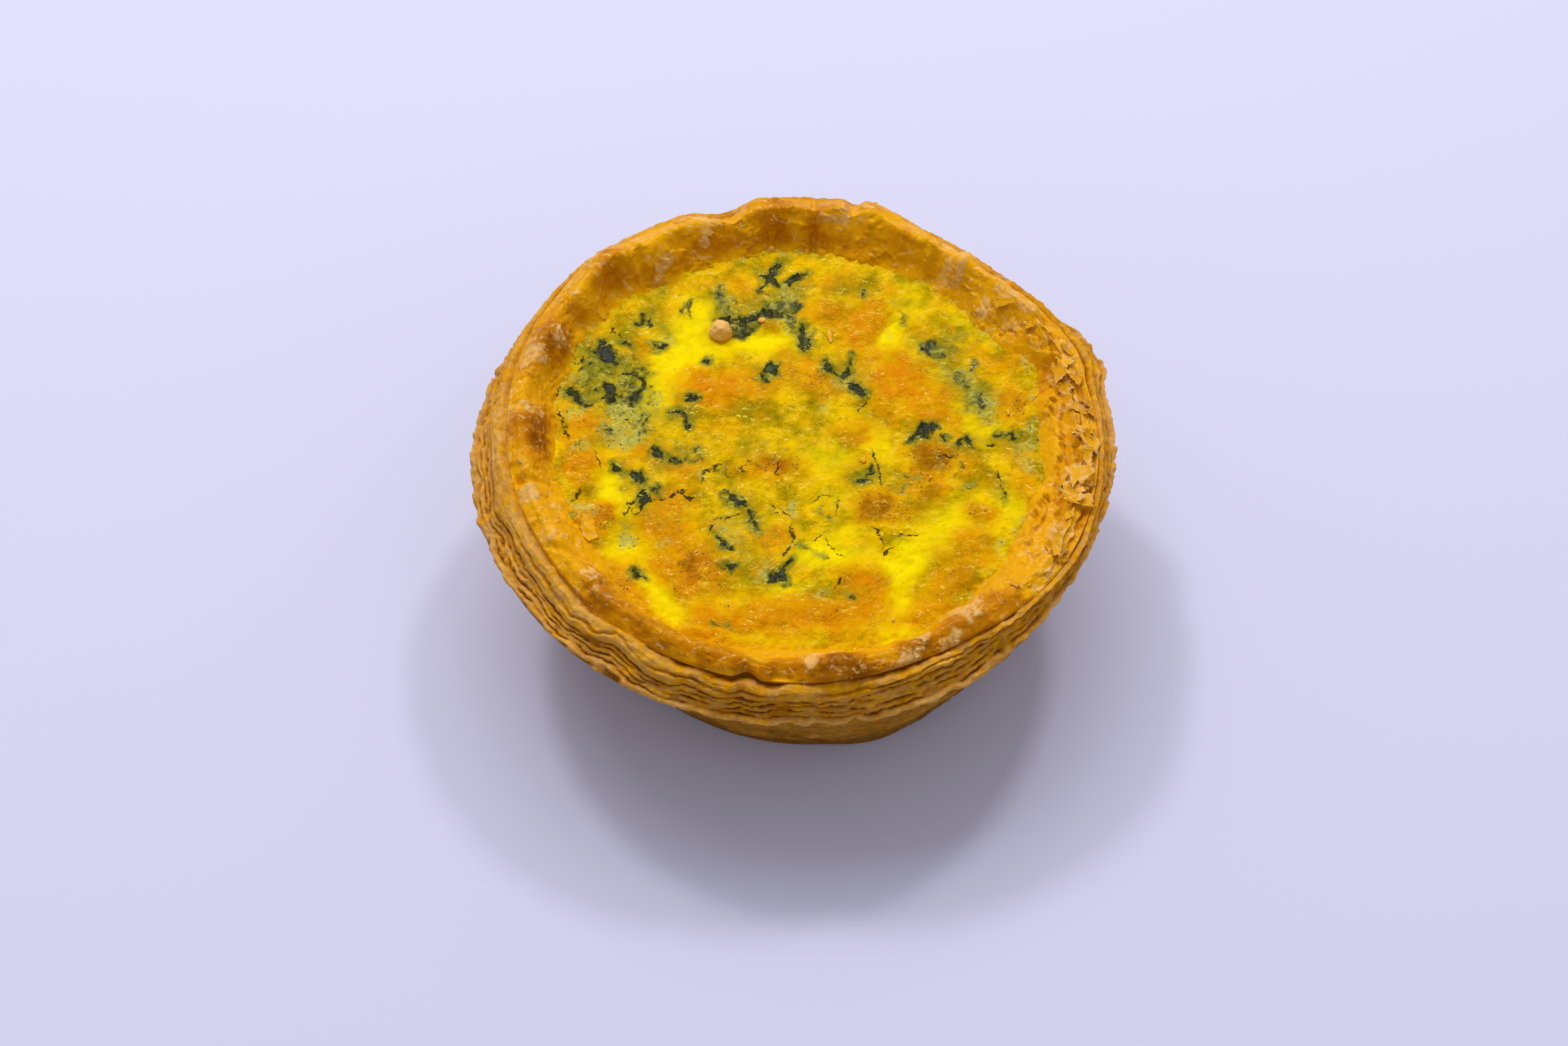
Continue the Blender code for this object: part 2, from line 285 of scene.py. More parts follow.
class Nodes:
    """A material's node tree, built one node at a time."""

    def __init__(self, name: str) -> None:
        """Start a material with a Principled shader.

        Args:
            name: the material's name.
        """
        self.material = bpy.data.materials.new(name)
        self.material.use_nodes = True
        self.tree = self.material.node_tree
        self.shader = self.tree.nodes["Principled BSDF"]
        self.spots = self.tree.nodes.new("ShaderNodeTexCoord").outputs["Object"]

    def link(self, source: object, target: object) -> None:
        """Join an output to an input."""
        self.tree.links.new(source, target)

    def mask(self, name: str) -> object:
        """Return the value that was painted on the mesh under a name."""
        node = self.tree.nodes.new("ShaderNodeAttribute")
        node.attribute_name = name
        return node.outputs["Fac"]

    def noise(self, size: float, detail: float = 3.0, roughness: float = 0.6,
              twist: float = 0.0, north: float = 0.0) -> object:
        """Return noise whose swells are size millimetres apart, curled by twist and moved north."""
        node = self.tree.nodes.new("ShaderNodeTexNoise")
        node.inputs["Scale"].default_value = 1.0 / (size * MM)
        node.inputs["Detail"].default_value = detail
        node.inputs["Roughness"].default_value = roughness
        node.inputs["Distortion"].default_value = twist
        spots = self.spots
        if north:
            moved = self.tree.nodes.new("ShaderNodeVectorMath")
            self.link(spots, moved.inputs[0])
            moved.inputs[1].default_value = (0.0, -north * MM, 0.0)
            spots = moved.outputs[0]
        self.link(spots, node.inputs["Vector"])
        return node.outputs["Fac"]

    def lit_edges(self, size: float, low: float, high: float, strength: float) -> object:
        """Return thin crescents on the north side of a noise's swells, where the light catches them."""
        swells = [self.noise(size, 2.0, 0.6, 1.2, north) for north in (0.0, 0.2 * size)]
        return self.fit(self.minus(swells[1], swells[0]), low, high, 0.0, strength)

    def strata(self, name: str, along: float, across: float, detail: float = 3.0) -> object:
        """Return noise drawn out into fine lines that run round the rim.

        Args:
            name: the painted distance across the layers, in millimetres.
            along: how long the lines are, in millimetres.
            across: how far apart the lines are, in millimetres.
            detail: how many finer sizes the noise has.

        Returns:
            The noise's output.
        """
        parts = self.tree.nodes.new("ShaderNodeSeparateXYZ")
        self.link(self.spots, parts.inputs[0])
        spot = self.tree.nodes.new("ShaderNodeCombineXYZ")
        for index, key in enumerate(("X", "Y")):
            self.link(self.times(parts.outputs[key], 1.0 / (along * MM)), spot.inputs[index])
        self.link(self.times(self.mask(name), 1.0 / across), spot.inputs[2])
        node = self.tree.nodes.new("ShaderNodeTexNoise")
        node.inputs["Scale"].default_value = 1.0
        node.inputs["Detail"].default_value = detail
        self.link(spot.outputs[0], node.inputs["Vector"])
        return node.outputs["Fac"]

    def cells(self, size: float) -> object:
        """Return the distance to the nearest of points size millimetres apart."""
        node = self.tree.nodes.new("ShaderNodeTexVoronoi")
        node.inputs["Scale"].default_value = 1.0 / (size * MM)
        self.link(self.spots, node.inputs["Vector"])
        return node.outputs["Distance"]

    def fit(self, value: object, low: float, high: float,
            to_low: float = 0.0, to_high: float = 1.0) -> object:
        """Return a value mapped from one range to another, and held inside it."""
        node = self.tree.nodes.new("ShaderNodeMapRange")
        for key, number in (("From Min", low), ("From Max", high),
                            ("To Min", to_low), ("To Max", to_high)):
            node.inputs[key].default_value = number
        self.link(value, node.inputs["Value"])
        return node.outputs["Result"]

    def math(self, kind: str, first: object, second: object | float) -> object:
        """Return the result of a Math node on two values."""
        node = self.tree.nodes.new("ShaderNodeMath")
        node.operation = kind
        self.link(first, node.inputs[0])
        if isinstance(second, (int, float)):
            node.inputs[1].default_value = second
        else:
            self.link(second, node.inputs[1])
        return node.outputs[0]

    def times(self, first: object, second: object | float) -> object:
        """Return the product of two values."""
        return self.math("MULTIPLY", first, second)

    def plus(self, first: object, second: object | float) -> object:
        """Return the sum of two values."""
        return self.math("ADD", first, second)

    def minus(self, first: object, second: object | float) -> object:
        """Return the first value less the second."""
        return self.math("SUBTRACT", first, second)

    def swing(self, value: object, depth: object | float) -> object:
        """Return how far a value is above 0.5, times a depth."""
        return self.times(self.minus(value, 0.5), depth)

    def blend(self, share: object, first: object, second: object, kind: str = "MIX") -> object:
        """Return two colours mixed by a share, where a colour is a tone or an output."""
        node = self.tree.nodes.new("ShaderNodeMix")
        node.data_type = "RGBA"
        node.blend_type = kind
        for socket, colour in ((node.inputs[6], first), (node.inputs[7], second)):
            if isinstance(colour, tuple):
                socket.default_value = colour
            else:
                self.link(colour, socket)
        if isinstance(share, (int, float)):
            node.inputs[0].default_value = share
        else:
            self.link(share, node.inputs[0])
        return node.outputs[2]

    def mottled(self, colour: object, grain: object, depth: object | float) -> object:
        """Return a colour made lighter and darker by a noise around 0.5."""
        return self.blend(1.0, colour, self.plus(self.swing(grain, depth), 1.0), "MULTIPLY")

    def relief(self, parts: list[tuple[object, float]]) -> None:
        """Give the surface fine relief.

        Args:
            parts: each a value and the height in millimetres that it adds from 0 to 1.
        """
        normal = None
        for value, height in parts:
            node = self.tree.nodes.new("ShaderNodeBump")
            node.inputs["Strength"].default_value = 1.0
            node.inputs["Distance"].default_value = height * MM
            self.link(value, node.inputs["Height"])
            if normal is not None:
                self.link(normal, node.inputs["Normal"])
            normal = node.outputs["Normal"]
        self.link(normal, self.shader.inputs["Normal"])

    def surface(self, colour: object, roughness: object | float, gloss: "Gloss") -> Finish:
        """Set the shader's colour, roughness and gloss, and return the material."""
        if isinstance(colour, tuple):
            self.shader.inputs["Base Color"].default_value = colour
        else:
            self.link(colour, self.shader.inputs["Base Color"])
        if isinstance(roughness, float):
            self.shader.inputs["Roughness"].default_value = roughness
        else:
            self.link(roughness, self.shader.inputs["Roughness"])
        self.shader.inputs["Specular IOR Level"].default_value = gloss.level
        self.shader.inputs["Specular Tint"].default_value = gloss.tint
        return self.material


@dataclass(frozen=True)
class Gloss:
    """How strong a surface's shine is, and its tint."""

    level: float
    tint: Colour


BUTTERY = Gloss(0.2, (1.0, 0.74, 0.1, 1.0))
EGGY = Gloss(0.05, (1.0, 0.8, 0.02, 1.0))


@dataclass(frozen=True)
class CustardFinish:
    """Baked egg custard: yellow olive, with bright, amber, browned, toasted and leafy patches."""

    olive: Colour = tone(152, 128, 0)
    yolk: Colour = tone(230, 184, 0)
    amber: Colour = tone(218, 150, 0)
    bright: Colour = tone(242, 214, 0)
    browned: Colour = tone(214, 128, 0)
    toasted: Colour = tone(140, 82, 2)
    leafy: Colour = tone(124, 120, 26)
    veil: Colour = tone(182, 174, 76)
    slate: Colour = tone(66, 70, 50)
    dark: Colour = tone(36, 38, 22)
    stain: Colour = tone(138, 126, 4)
    # colour of the painted highlights
    glint: Colour = tone(255, 232, 110)
    # grey of the painted shade inside the tiny pores
    pit_shade: Colour = tone(104, 92, 40)
    gloss: Gloss = EGGY

    def material(self) -> Finish:
        """Build the material from the masks that Custard paints."""
        nodes = Nodes("baked_custard")
        strands = nodes.noise(1.7, 3.0, 0.55, 1.2)
        fine = nodes.noise(0.8, 3.0, 0.6)
        smooth = nodes.mask("bright")
        colour = nodes.blend(nodes.fit(nodes.noise(6.0, 3.0, 0.55), 0.36, 0.6), self.olive, self.yolk)
        damp = nodes.fit(nodes.noise(4.0, 3.0, 0.6), 0.45, 0.6)
        colour = nodes.blend(nodes.times(nodes.fit(strands, 0.46, 0.32, 0.0, 0.6), damp), colour, self.stain)
        for name, shade, speckle, low, high in (
                ("amber", self.amber, 0.5, 0.1, 0.95), ("bright", self.bright, 0.25, 0.05, 0.85),
                ("browned", self.browned, 0.4, 0.1, 0.95), ("toasted", self.toasted, 0.7, 0.15, 1.1),
                ("leafy", self.leafy, 1.0, 0.1, 1.0), ("veil", self.veil, 2.2, 0.3, 1.1),
                ("slate", self.slate, 1.6, 0.3, 0.9), ("dark", self.dark, 0.5, 0.3, 0.7)):
            share = nodes.plus(nodes.mask(name), nodes.swing(strands, speckle))
            colour = nodes.blend(nodes.fit(share, low, high), colour, shade)
        colour = nodes.mottled(colour, strands, nodes.fit(smooth, 0.0, 0.8, 0.4, 0.08))
        colour = nodes.mottled(colour, fine, nodes.fit(smooth, 0.0, 0.8, 0.18, 0.03))
        green = nodes.mask("leafy")
        swirl = nodes.noise(3.4, 4.0, 0.58, 1.4)
        for low, high, strength, shade in ((0.46, 0.38, 0.6, self.veil), (0.55, 0.61, 0.8, self.dark)):
            share = nodes.fit(swirl, low, high, 0.0, strength)
            colour = nodes.blend(nodes.times(share, nodes.fit(green, 0.4, 0.95)), colour, shade)
        specks = nodes.times(nodes.fit(fine, 0.57, 0.64, 0.0, 0.75), nodes.fit(nodes.mask("veil"), 0.2, 0.6))
        colour = nodes.blend(specks, colour, self.slate)
        crisp = nodes.fit(nodes.mask("toasted"), 0.1, 0.3, 0.0, 0.9)
        # Painted shade: the tiny pores of the toasted domes are painted grey, as the shade inside each pit.
        pits = nodes.times(nodes.fit(nodes.cells(1.2), 0.26, 0.16), crisp)
        colour = nodes.blend(pits, colour, self.pit_shade)
        inside = nodes.plus(nodes.mask("leaf"), nodes.swing(nodes.noise(1.5, 4.0, 0.62), 2.6))
        # Inside each leaf, the slate grey on its folds is a painted sheen over the near black.
        folds = nodes.fit(nodes.noise(1.1, 3.0, 0.6, 0.8), 0.5, 0.62)
        leaf = nodes.blend(nodes.times(folds, nodes.fit(inside, 0.1, 0.4)), self.dark, self.slate)
        colour = nodes.blend(nodes.fit(inside, -0.22, 0.12, 0.0, 0.95), colour, leaf)
        # Painted shade: the thin splits are painted near black, as the shade inside them.
        wander = nodes.swing(nodes.noise(2.2, 5.0, 0.62), 4.0)
        gap = nodes.math("ABSOLUTE", nodes.plus(nodes.mask("split"), wander), 0.0)
        width = nodes.fit(nodes.noise(1.6, 2.0), 0.34, 0.62, 0.04, 0.42)
        split = nodes.fit(nodes.minus(width, gap), 0.0, 0.1, 0.0, 0.92)
        split = nodes.times(split, nodes.fit(nodes.mask("near_split"), 1.7, 1.1))
        colour = nodes.blend(split, colour, self.dark)
        # Painted highlights: thin pale crescents on the north side of the swells, sparse, and kept off the
        # smooth bright pools.
        sparse = nodes.fit(nodes.noise(3.6, 2.0), 0.44, 0.6)
        sparse = nodes.times(sparse, nodes.fit(smooth, 0.1, 0.6, 1.0, 0.0))
        for size, low, strength in ((3.2, 0.08, 0.3), (1.5, 0.13, 0.8), (0.8, 0.15, 0.7)):
            glints = nodes.times(nodes.lit_edges(size, low, 0.19, strength), sparse)
            colour = nodes.blend(glints, colour, self.glint)
        calm = nodes.fit(smooth, 0.0, 0.9, 1.0, 0.25)
        nodes.relief([(nodes.times(strands, calm), 0.5), (nodes.times(fine, calm), 0.1),
                      (nodes.minus(split, inside), -0.05)])
        return nodes.surface(colour, nodes.fit(nodes.noise(2.4, 2.0), 0.35, 0.65, 0.15, 0.3), self.gloss)


@dataclass(frozen=True)
class PastryFinish:
    """Baked puff pastry: golden skin that browns, over pale dry layers."""

    golden: Colour = tone(226, 160, 8)
    brown_and_shade: Colour = tone(194, 119, 2)
    dark: Colour = tone(132, 70, 2)
    pale: Colour = tone(212, 164, 98)
    egg: Colour = tone(228, 162, 0)
    gap: Colour = tone(128, 92, 14)
    # colour of the painted highlights
    glint: Colour = tone(250, 218, 150)
    dull_and_shade: Colour = tone(138, 102, 14)
    # cream of the painted highlights on the top skin
    shine: Colour = tone(230, 184, 112)
    gloss: Gloss = BUTTERY

    def material(self) -> Finish:
        """Build the material from the masks that the pastry pieces paint."""
        nodes = Nodes("baked_pastry")
        crackle = nodes.noise(2.2, 5.0, 0.62, 0.8)
        fleck = nodes.noise(0.7, 3.0, 0.6)
        leaved = nodes.mask("leaved")
        # The bake mask holds both the browning and the painted shade that the pieces put into it.
        bake = nodes.plus(nodes.mask("bake"), nodes.minus(crackle, 0.5))
        colour = nodes.blend(nodes.fit(bake, 0.05, 0.6), self.golden, self.brown_and_shade)
        colour = nodes.blend(nodes.fit(bake, 0.6, 1.15), colour, self.dark)
        flour = nodes.plus(nodes.swing(crackle, 1.5), nodes.times(nodes.minus(nodes.cells(1.4), 0.45), 0.5))
        pale = nodes.minus(nodes.plus(nodes.mask("pale"), flour), 0.54)
        pale = nodes.times(pale, nodes.fit(leaved, 0.0, 0.7, 1.0, 0.4))
        # On the top skin the pale patches take the shine colour, partly painted highlights and partly pale
        # flakes; on the layers and the wall they take the dry pastry's own pale.
        skin_shine_and_dry_tone = nodes.blend(nodes.fit(leaved, 0.0, 0.5), self.shine, self.pale)
        colour = nodes.blend(nodes.fit(pale, -0.18, 0.26, 0.0, 0.8), colour, skin_shine_and_dry_tone)
        colour = nodes.blend(nodes.mask("egg"), colour, self.egg)
        # The dull mask holds the wall's own olive tone and, on the layers, painted shade at the front.
        dulled = nodes.times(nodes.mask("dull_and_shade"), nodes.fit(crackle, 0.35, 0.65))
        colour = nodes.blend(dulled, colour, self.dull_and_shade)
        # Painted shade: fine dark lines in the gap colour stand for the shade in the thin gaps between the
        # layers.
        lines = nodes.strata("girth", 4.0, 0.5)
        colour = nodes.blend(nodes.times(nodes.fit(lines, 0.45, 0.36, 0.0, 0.12), leaved), colour, self.gap)
        colour = nodes.mottled(colour, nodes.noise(1.2, 4.0, 0.65), nodes.fit(leaved, 0.0, 0.7, 0.35, 0.7))
        # Painted highlights: thin pale crescents where the swells face the lamps, faint on the layers and the
        # wall.
        for size, low, strength in ((3.4, 0.12, 0.35), (1.3, 0.17, 0.15)):
            lit = nodes.lit_edges(size, low, 0.21, strength)
            colour = nodes.blend(nodes.times(lit, nodes.fit(leaved, 0.0, 0.8, 1.0, 0.1)), colour, self.glint)
        dry = nodes.math("MAXIMUM", nodes.mask("pale"), leaved)
        coarse = nodes.fit(dry, 0.2, 0.7, 0.3, 1.0)
        nodes.relief([(nodes.times(crackle, coarse), 0.3), (nodes.times(fleck, coarse), 0.12),
                      (nodes.times(lines, leaved), 0.12)])
        return nodes.surface(colour, nodes.fit(dry, 0.0, 0.9, 0.26, 0.7), self.gloss)


@dataclass(frozen=True)
class LeafFinish:
    """Baked spinach: nearly black green, fresher in places, with a painted grey sheen on its folds and
    painted glints.
    """

    deep: Colour = tone(28, 29, 24)
    fold_sheen: Colour = tone(58, 60, 48)
    fresh: Colour = tone(66, 80, 24)
    edge: Colour = tone(44, 50, 22)
    wet_glint: Colour = tone(122, 126, 106)
    gloss: Gloss = Gloss(0.18, (0.9, 0.95, 1.0, 1.0))

    def material(self) -> Finish:
        """Build the material."""
        nodes = Nodes("baked_spinach")
        folds = nodes.noise(1.0, 4.0, 0.65)
        # The greyer tone on the raised folds is a painted sheen.
        colour = nodes.blend(nodes.fit(folds, 0.4, 0.6), self.deep, self.fold_sheen)
        colour = nodes.blend(nodes.fit(nodes.noise(5.0, 3.0), 0.52, 0.64), colour, self.fresh)
        thin = nodes.plus(nodes.mask("inside"), nodes.minus(folds, 0.5))
        colour = nodes.blend(nodes.fit(thin, 0.55, 0.1, 0.0, 0.9), colour, self.edge)
        # Painted glints: small pale specks.
        colour = nodes.blend(nodes.fit(nodes.noise(0.8, 3.0), 0.62, 0.72, 0.0, 0.8), colour, self.wet_glint)
        nodes.relief([(folds, 0.3), (nodes.noise(0.35, 2.0), 0.08)])
        return nodes.surface(colour, 0.4, self.gloss)


@dataclass(frozen=True)
class Compass:
    """A size that changes smoothly round the rim, given at even steps from azimuth 0."""

    sizes: tuple[float, ...]

    def at(self, azimuth: Array) -> Array:
        """Return the size at each azimuth."""
        values = np.array(self.sizes)
        turn = (azimuth % 360.0) * len(values) / 360.0
        index = np.floor(turn).astype(int)
        around = [values[(index + k) % len(values)] for k in (-1, 0, 1, 2)]
        return smooth_between(*around, turn - index)


@dataclass(frozen=True)
class Mark:
    """A local swelling or dip of the rim."""

    middle: float
    half_width: float
    out: float
    up: float = 0.0

    def swell(self, azimuth: Array) -> Array:
        """Return 1 at the middle, falling smoothly to 0 at half_width from it."""
        off = np.abs((azimuth - self.middle + 180.0) % 360.0 - 180.0)
        return np.where(off < self.half_width, 0.5 + 0.5 * np.cos(np.pi * off / self.half_width), 0.0)


def moved(marks: tuple[Mark, ...], azimuth: Array) -> tuple[Array, Array]:
    """Return how far out and how far up marks move the rim."""
    return (sum(mark.out * mark.swell(azimuth) for mark in marks),
            sum(mark.up * mark.swell(azimuth) for mark in marks))


@dataclass(frozen=True)
class Patch:
    """An oval patch of the rim or the custard, whose heading is anticlockwise from east."""

    east: float
    north: float
    length: float
    width: float
    strength: float = 1.0
    heading: float = 0.0

    def cover(self, places: Array, edge: float = 0.45) -> Array:
        """Return the patch's strength at places, falling off over its edge."""
        angle = math.radians(self.heading)
        east, north = places[:, 0] - self.east, places[:, 1] - self.north
        along = east * math.cos(angle) + north * math.sin(angle)
        across = north * math.cos(angle) - east * math.sin(angle)
        reach = np.hypot(along / (self.length / 2.0), across / (self.width / 2.0))
        return self.strength * ramp(1.0 + edge, 1.0 - edge, reach)


def patches(*rows: tuple[float, ...]) -> tuple[Patch, ...]:
    """Return a patch for each row of its east, north, length, width, strength and heading."""
    return tuple(Patch(*row) for row in rows)


@dataclass(frozen=True)
class Rim:
    """The case's uneven sizes, which the solids of the frame share."""

    base_radius: float = 50.3
    base_shift: float = 1.8
    foot_rounding: float = 1.2
    wall_foot: float = 1.6
    wall_thickness: float = 5.5
    floor: float = 5.0
    fill: float = 43.0
    edge_radius: Compass = Compass((69.0, 68.9, 64.9, 66.8, 67.4, 68.8,
                                    71.9, 70.6, 68.5, 65.3, 66.9, 66.2))
    edge_height: Compass = Compass((42.5, 43.0, 44.0, 45.0, 44.5, 43.5,
                                    42.3, 41.6, 39.9, 36.8, 39.2, 41.2))
    lip_radius: Compass = Compass((63.4, 63.6, 61.9, 64.7, 64.8, 65.0,
                                   62.6, 60.4, 59.8, 59.1, 59.1, 62.6))
    lip_height: Compass = Compass((46.8, 47.2, 48.4, 49.2, 48.9, 48.2,
                                   47.2, 46.6, 45.8, 45.1, 45.4, 46.2))
    crest_radius: Compass = Compass((60.3, 60.8, 58.6, 60.4, 61.0, 61.2,
                                     59.6, 57.6, 56.8, 56.0, 56.2, 59.6))
    crest_height: Compass = Compass((48.4, 49.4, 50.4, 51.0, 50.4, 49.6,
                                     48.8, 48.0, 47.2, 46.4, 46.8, 47.6))
    mouth_radius: Compass = Compass((52.1, 52.0, 53.6, 54.4, 54.2, 56.0,
                                     53.4, 50.9, 53.0, 50.8, 52.2, 51.0))
    rim_marks: tuple[Mark, ...] = (Mark(136.0, 12.0, 0.9, 0.3), Mark(106.5, 8.5, -2.4, -1.6),
                                   Mark(79.5, 2.8, -1.2, -0.8), Mark(76.0, 13.0, 2.3, 0.5),
                                   Mark(46.0, 14.0, -0.9, -0.2), Mark(260.0, 3.5, -1.8, -0.3),
                                   Mark(228.0, 6.0, 0.9, 0.2))
    corner_marks: tuple[Mark, ...] = (Mark(22.0, 10.0, 2.5), Mark(17.5, 2.6, 0.6),
                                      Mark(28.0, 2.4, 0.8))
    dent_marks: tuple[Mark, ...] = (Mark(24.0, 9.0, 2.2), Mark(352.0, 8.0, 1.2))
    foot_mark: Mark = Mark(288.0, 16.0, 1.2)
    torn_mark: Mark = Mark(2.0, 50.0, 1.0)
    skin_marks: tuple[Mark, ...] = (Mark(20.0, 13.0, 5.5), Mark(342.0, 8.0, -1.5), Mark(320.0, 12.0, 2.0))
    wet_mark: Mark = Mark(252.0, 78.0, 1.0)
    left_mark: Mark = Mark(190.0, 70.0, 1.0)
    shade_mark: Mark = Mark(275.0, 60.0, 1.0)
    bolster_share: Compass = Compass((0.24, 0.26, 0.3, 0.32, 0.36, 0.42, 0.46, 0.48, 0.47, 0.46, 0.34, 0.22))

    def torn(self, azimuth: Array) -> Array:
        """Return how torn the top skin is, from 0 to 1."""
        return np.minimum(1.0, 1.8 * self.torn_mark.swell(azimuth))

    def corner(self, azimuth: Array) -> Array:
        """Return how far the torn corner of the layers stands out."""
        return moved(self.corner_marks, azimuth)[0]

    def edge(self, azimuth: Array) -> tuple[Array, Array]:
        """Return the radius and height of the lowest, widest layer."""
        return self.edge_radius.at(azimuth) + self.corner(azimuth), self.edge_height.at(azimuth)

    def lip(self, azimuth: Array) -> tuple[Array, Array]:
        """Return the radius and height of the top skin's outer edge."""
        out, up = moved(self.rim_marks, azimuth)
        radius = self.lip_radius.at(azimuth) + out + 0.5 * self.corner(azimuth)
        return radius, self.lip_height.at(azimuth) + up

    def crest(self, azimuth: Array) -> tuple[Array, Array]:
        """Return the radius and height of the rim's highest line."""
        out, up = moved(self.rim_marks, azimuth)
        return self.crest_radius.at(azimuth) + 0.6 * out, self.crest_height.at(azimuth) + up

    def mouth(self, azimuth: Array) -> Array:
        """Return the radius at which the custard meets the pastry."""
        return self.mouth_radius.at(azimuth) + moved(self.dent_marks, azimuth)[0]

    def lean(self, height: Array) -> Array:
        """Return how far the case leans east at a height."""
        return self.base_shift * np.maximum(0.0, 1.0 - height / (self.fill - 2.0))


def curve_through(points: list[tuple[Array, Array]], rows: int) -> tuple[Array, Array]:
    """Return rows of points on a smooth curve through section points.

    Args:
        points: the radius and height of each point, at every azimuth.
        rows: how many rows to give.

    Returns:
        The radius and the height, each with rows by azimuths.
    """
    line = np.stack([np.stack(point) for point in points])
    line = np.concatenate([2 * line[:1] - line[1:2], line, 2 * line[-1:] - line[-2:-1]])
    turn = np.linspace(0, len(points) - 1 - 1e-9, rows)
    index = turn.astype(int)
    smooth = smooth_between(*(line[index + k] for k in range(4)), (turn - index)[:, None, None])
    return smooth[:, 0], smooth[:, 1]


RIM_BULGES = patches(
    (-56.5, -0.5, 9, 14, 1.1), (-57.5, -18.5, 6, 9, 0.7, 10), (-50.5, -27, 8, 7, 0.9),
    (-44, -35.5, 10, 7, 1, -45), (-38, -43, 11, 7, 0.9, -45), (-29, -49.5, 10, 6, 0.7, -35),
    (-18, -53.5, 12, 6, 1, -15), (-4, -56.5, 12, 5, 0.5), (9, -56.5, 14, 6, 0.7, 5),
    (23, -52.5, 11, 6, 0.6, 20), (34, -45.5, 12, 7, 0.8, 35), (-55, 23, 8, 11, 0.9, -20),
    (-58.5, 12, 6, 8, 0.6), (-50, 36, 6, 9, 0.7, -40), (-45.5, 44, 5, 9, 0.9, -35),
    (-32.5, 50, 5, 10, 0.7, -25), (-22, 57, 9, 7, 0.6, 20), (-10, 62, 12, 6, 0.6), (16, 62, 12, 6, 0.7),
    (27, 55, 9, 7, 0.5, -30), (37, 47, 5, 9, 0.6, -50), (45, 38, 9, 6, 0.5, -45),
    (-42, 41, 6, 9, -1.6, -30), (52, 18.5, 7, 9, -1.9, 20), (-51.5, 30, 4, 7, -0.8, -30),
    (-58, -13.5, 9, 1.8, -0.9, 5), (-46.5, -31.5, 8, 1.6, -0.9, -20), (-41, -39.5, 7, 1.4, -0.6, 20),
    (-8.5, 55, 1.6, 14, -0.9), (-5.4, 55, 1.3, 14, -0.7), (2.6, 57, 1.7, 14, -1.2),
    (6.6, 55, 1.4, 10, -0.7), (-15, 55, 2, 10, -0.6, 10), (-28, 52, 2, 10, -0.8, 20), (12, 60, 3, 7, -0.7),
    (-37, 47, 2, 9, -0.9, 35), (30, 48, 2, 9, -0.6, -30), (54, 31.5, 4, 3, -1.4),
    (53.5, -11, 3.6, 2.4, -1.2))

RIM_BROWN = patches(
    (-56.5, -0.5, 9, 13), (-54.5, 24, 8, 11, 0.75, -20), (-42.5, 42, 7, 10, 0.8, -30),
    (-38.5, -43, 13, 9, 0.85, -45), (-29, -48.5, 12, 7, 0.8, -38), (-18, -53.5, 14, 6, 0.75, -15),
    (-5, -57, 16, 4, 0.75), (10, -57, 18, 6, 1, 5), (25, -51.5, 14, 7, 0.8, 20),
    (35, -45.5, 14, 8, 0.7, 38), (43, -40, 8, 5, 0.7, 42), (54, 31.5, 6, 4), (51.5, 18.5, 9, 10, 0.95, 20),
    (-6, 55, 9, 12, 0.75), (3, 56, 5, 12, 0.8), (-20, 52, 18, 7, 0.6, 15), (16, 53, 26, 7, 0.25, -8),
    (33, 44, 18, 9, -0.5, -40), (-33, 44, 10, 6, 0.5, 35), (50, 30, 7, 9, 0.45, 30),
    (45, 20, 5, 14, 0.55, 10), (-52, 33, 7, 7, 0.35), (-58, -30, 6, 9, 0.25), (-51, -36, 5, 8, 0.3, -45),
    (-60, 15, 4, 8, 0.3), (-40, 36, 8, 5, 0.4, 40), (-4, 63, 64, 8, 0.35), (-62, -4, 3, 12, 0.3))

# Pale cream patches of the top skin: partly pale flaked skin, partly painted highlights on its glossy bulges.
RIM_PALE_AND_SHINE = patches(
    (-58.5, 5, 6, 3, 0.7, -20), (-57.5, -17, 4, 6, 0.7, 10), (-52, -27.5, 6, 3, 0.5),
    (-46.5, 44, 3, 6, 0.4, -35), (-44.5, 39.5, 3, 3, 0.4), (-22, 57, 6, 5, 0.55), (-22.5, 53.5, 3, 3, 0.6),
    (-31.8, 47.5, 2.6, 7, 0.8, -20), (-54, 25, 3, 4, 0.7, 20), (-59, 19, 5, 8, 0.7),
    (-51.5, 38, 5, 4, 0.3, 50), (12, 61.5, 10, 3, 0.45), (26.5, 55, 5, 5, 0.5), (31.5, 46, 4, 4, 0.75),
    (35.5, 45, 2.6, 7, 0.75, -30), (41, 36.5, 3, 5, 0.8, -30), (7, 59, 8, 3, 0.55), (3, -55, 4, 2.4, 0.8),
    (8.5, -57, 6, 3, 0.35), (17.5, -57, 5, 3, 0.35), (25, -49.5, 4, 3, 0.85, 20),
    (31, -50.5, 6, 4, 0.7, 35), (22, -54, 6, 3, 0.7, 30), (34, -43, 10, 5, 0.75, 35),
    (-43, -37, 4, 2, 0.7, -20), (-39, -41, 5, 5, 0.4, -45), (47, 37, 7, 3, 0.5, -45),
    (36, 50, 8, 2.5, 0.6, -40), (-48, 47, 6, 2, 0.5, 45), (-63, -2, 3, 30, 0.4), (-60, -22, 3, 14, 0.4, 10))


def cover_all(patches: tuple[Patch, ...], places: Array, edge: float, add: bool = False) -> Array:
    """Return how much patches cover places, blended up to 1 or all added up.

    Args:
        patches: the patches.
        places: rows of east, north and up, in any number of dimensions.
        edge: how soft their edges are.
        add: whether overlapping patches add up without limit.

    Returns:
        One value for each place.
    """
    rows = places.reshape(-1, 3)
    total = np.zeros(len(rows))
    for patch in patches:
        cover = patch.cover(rows, edge)
        total = total + cover * (1.0 if add else 1.0 - total)
    return total.reshape(places.shape[:-1])


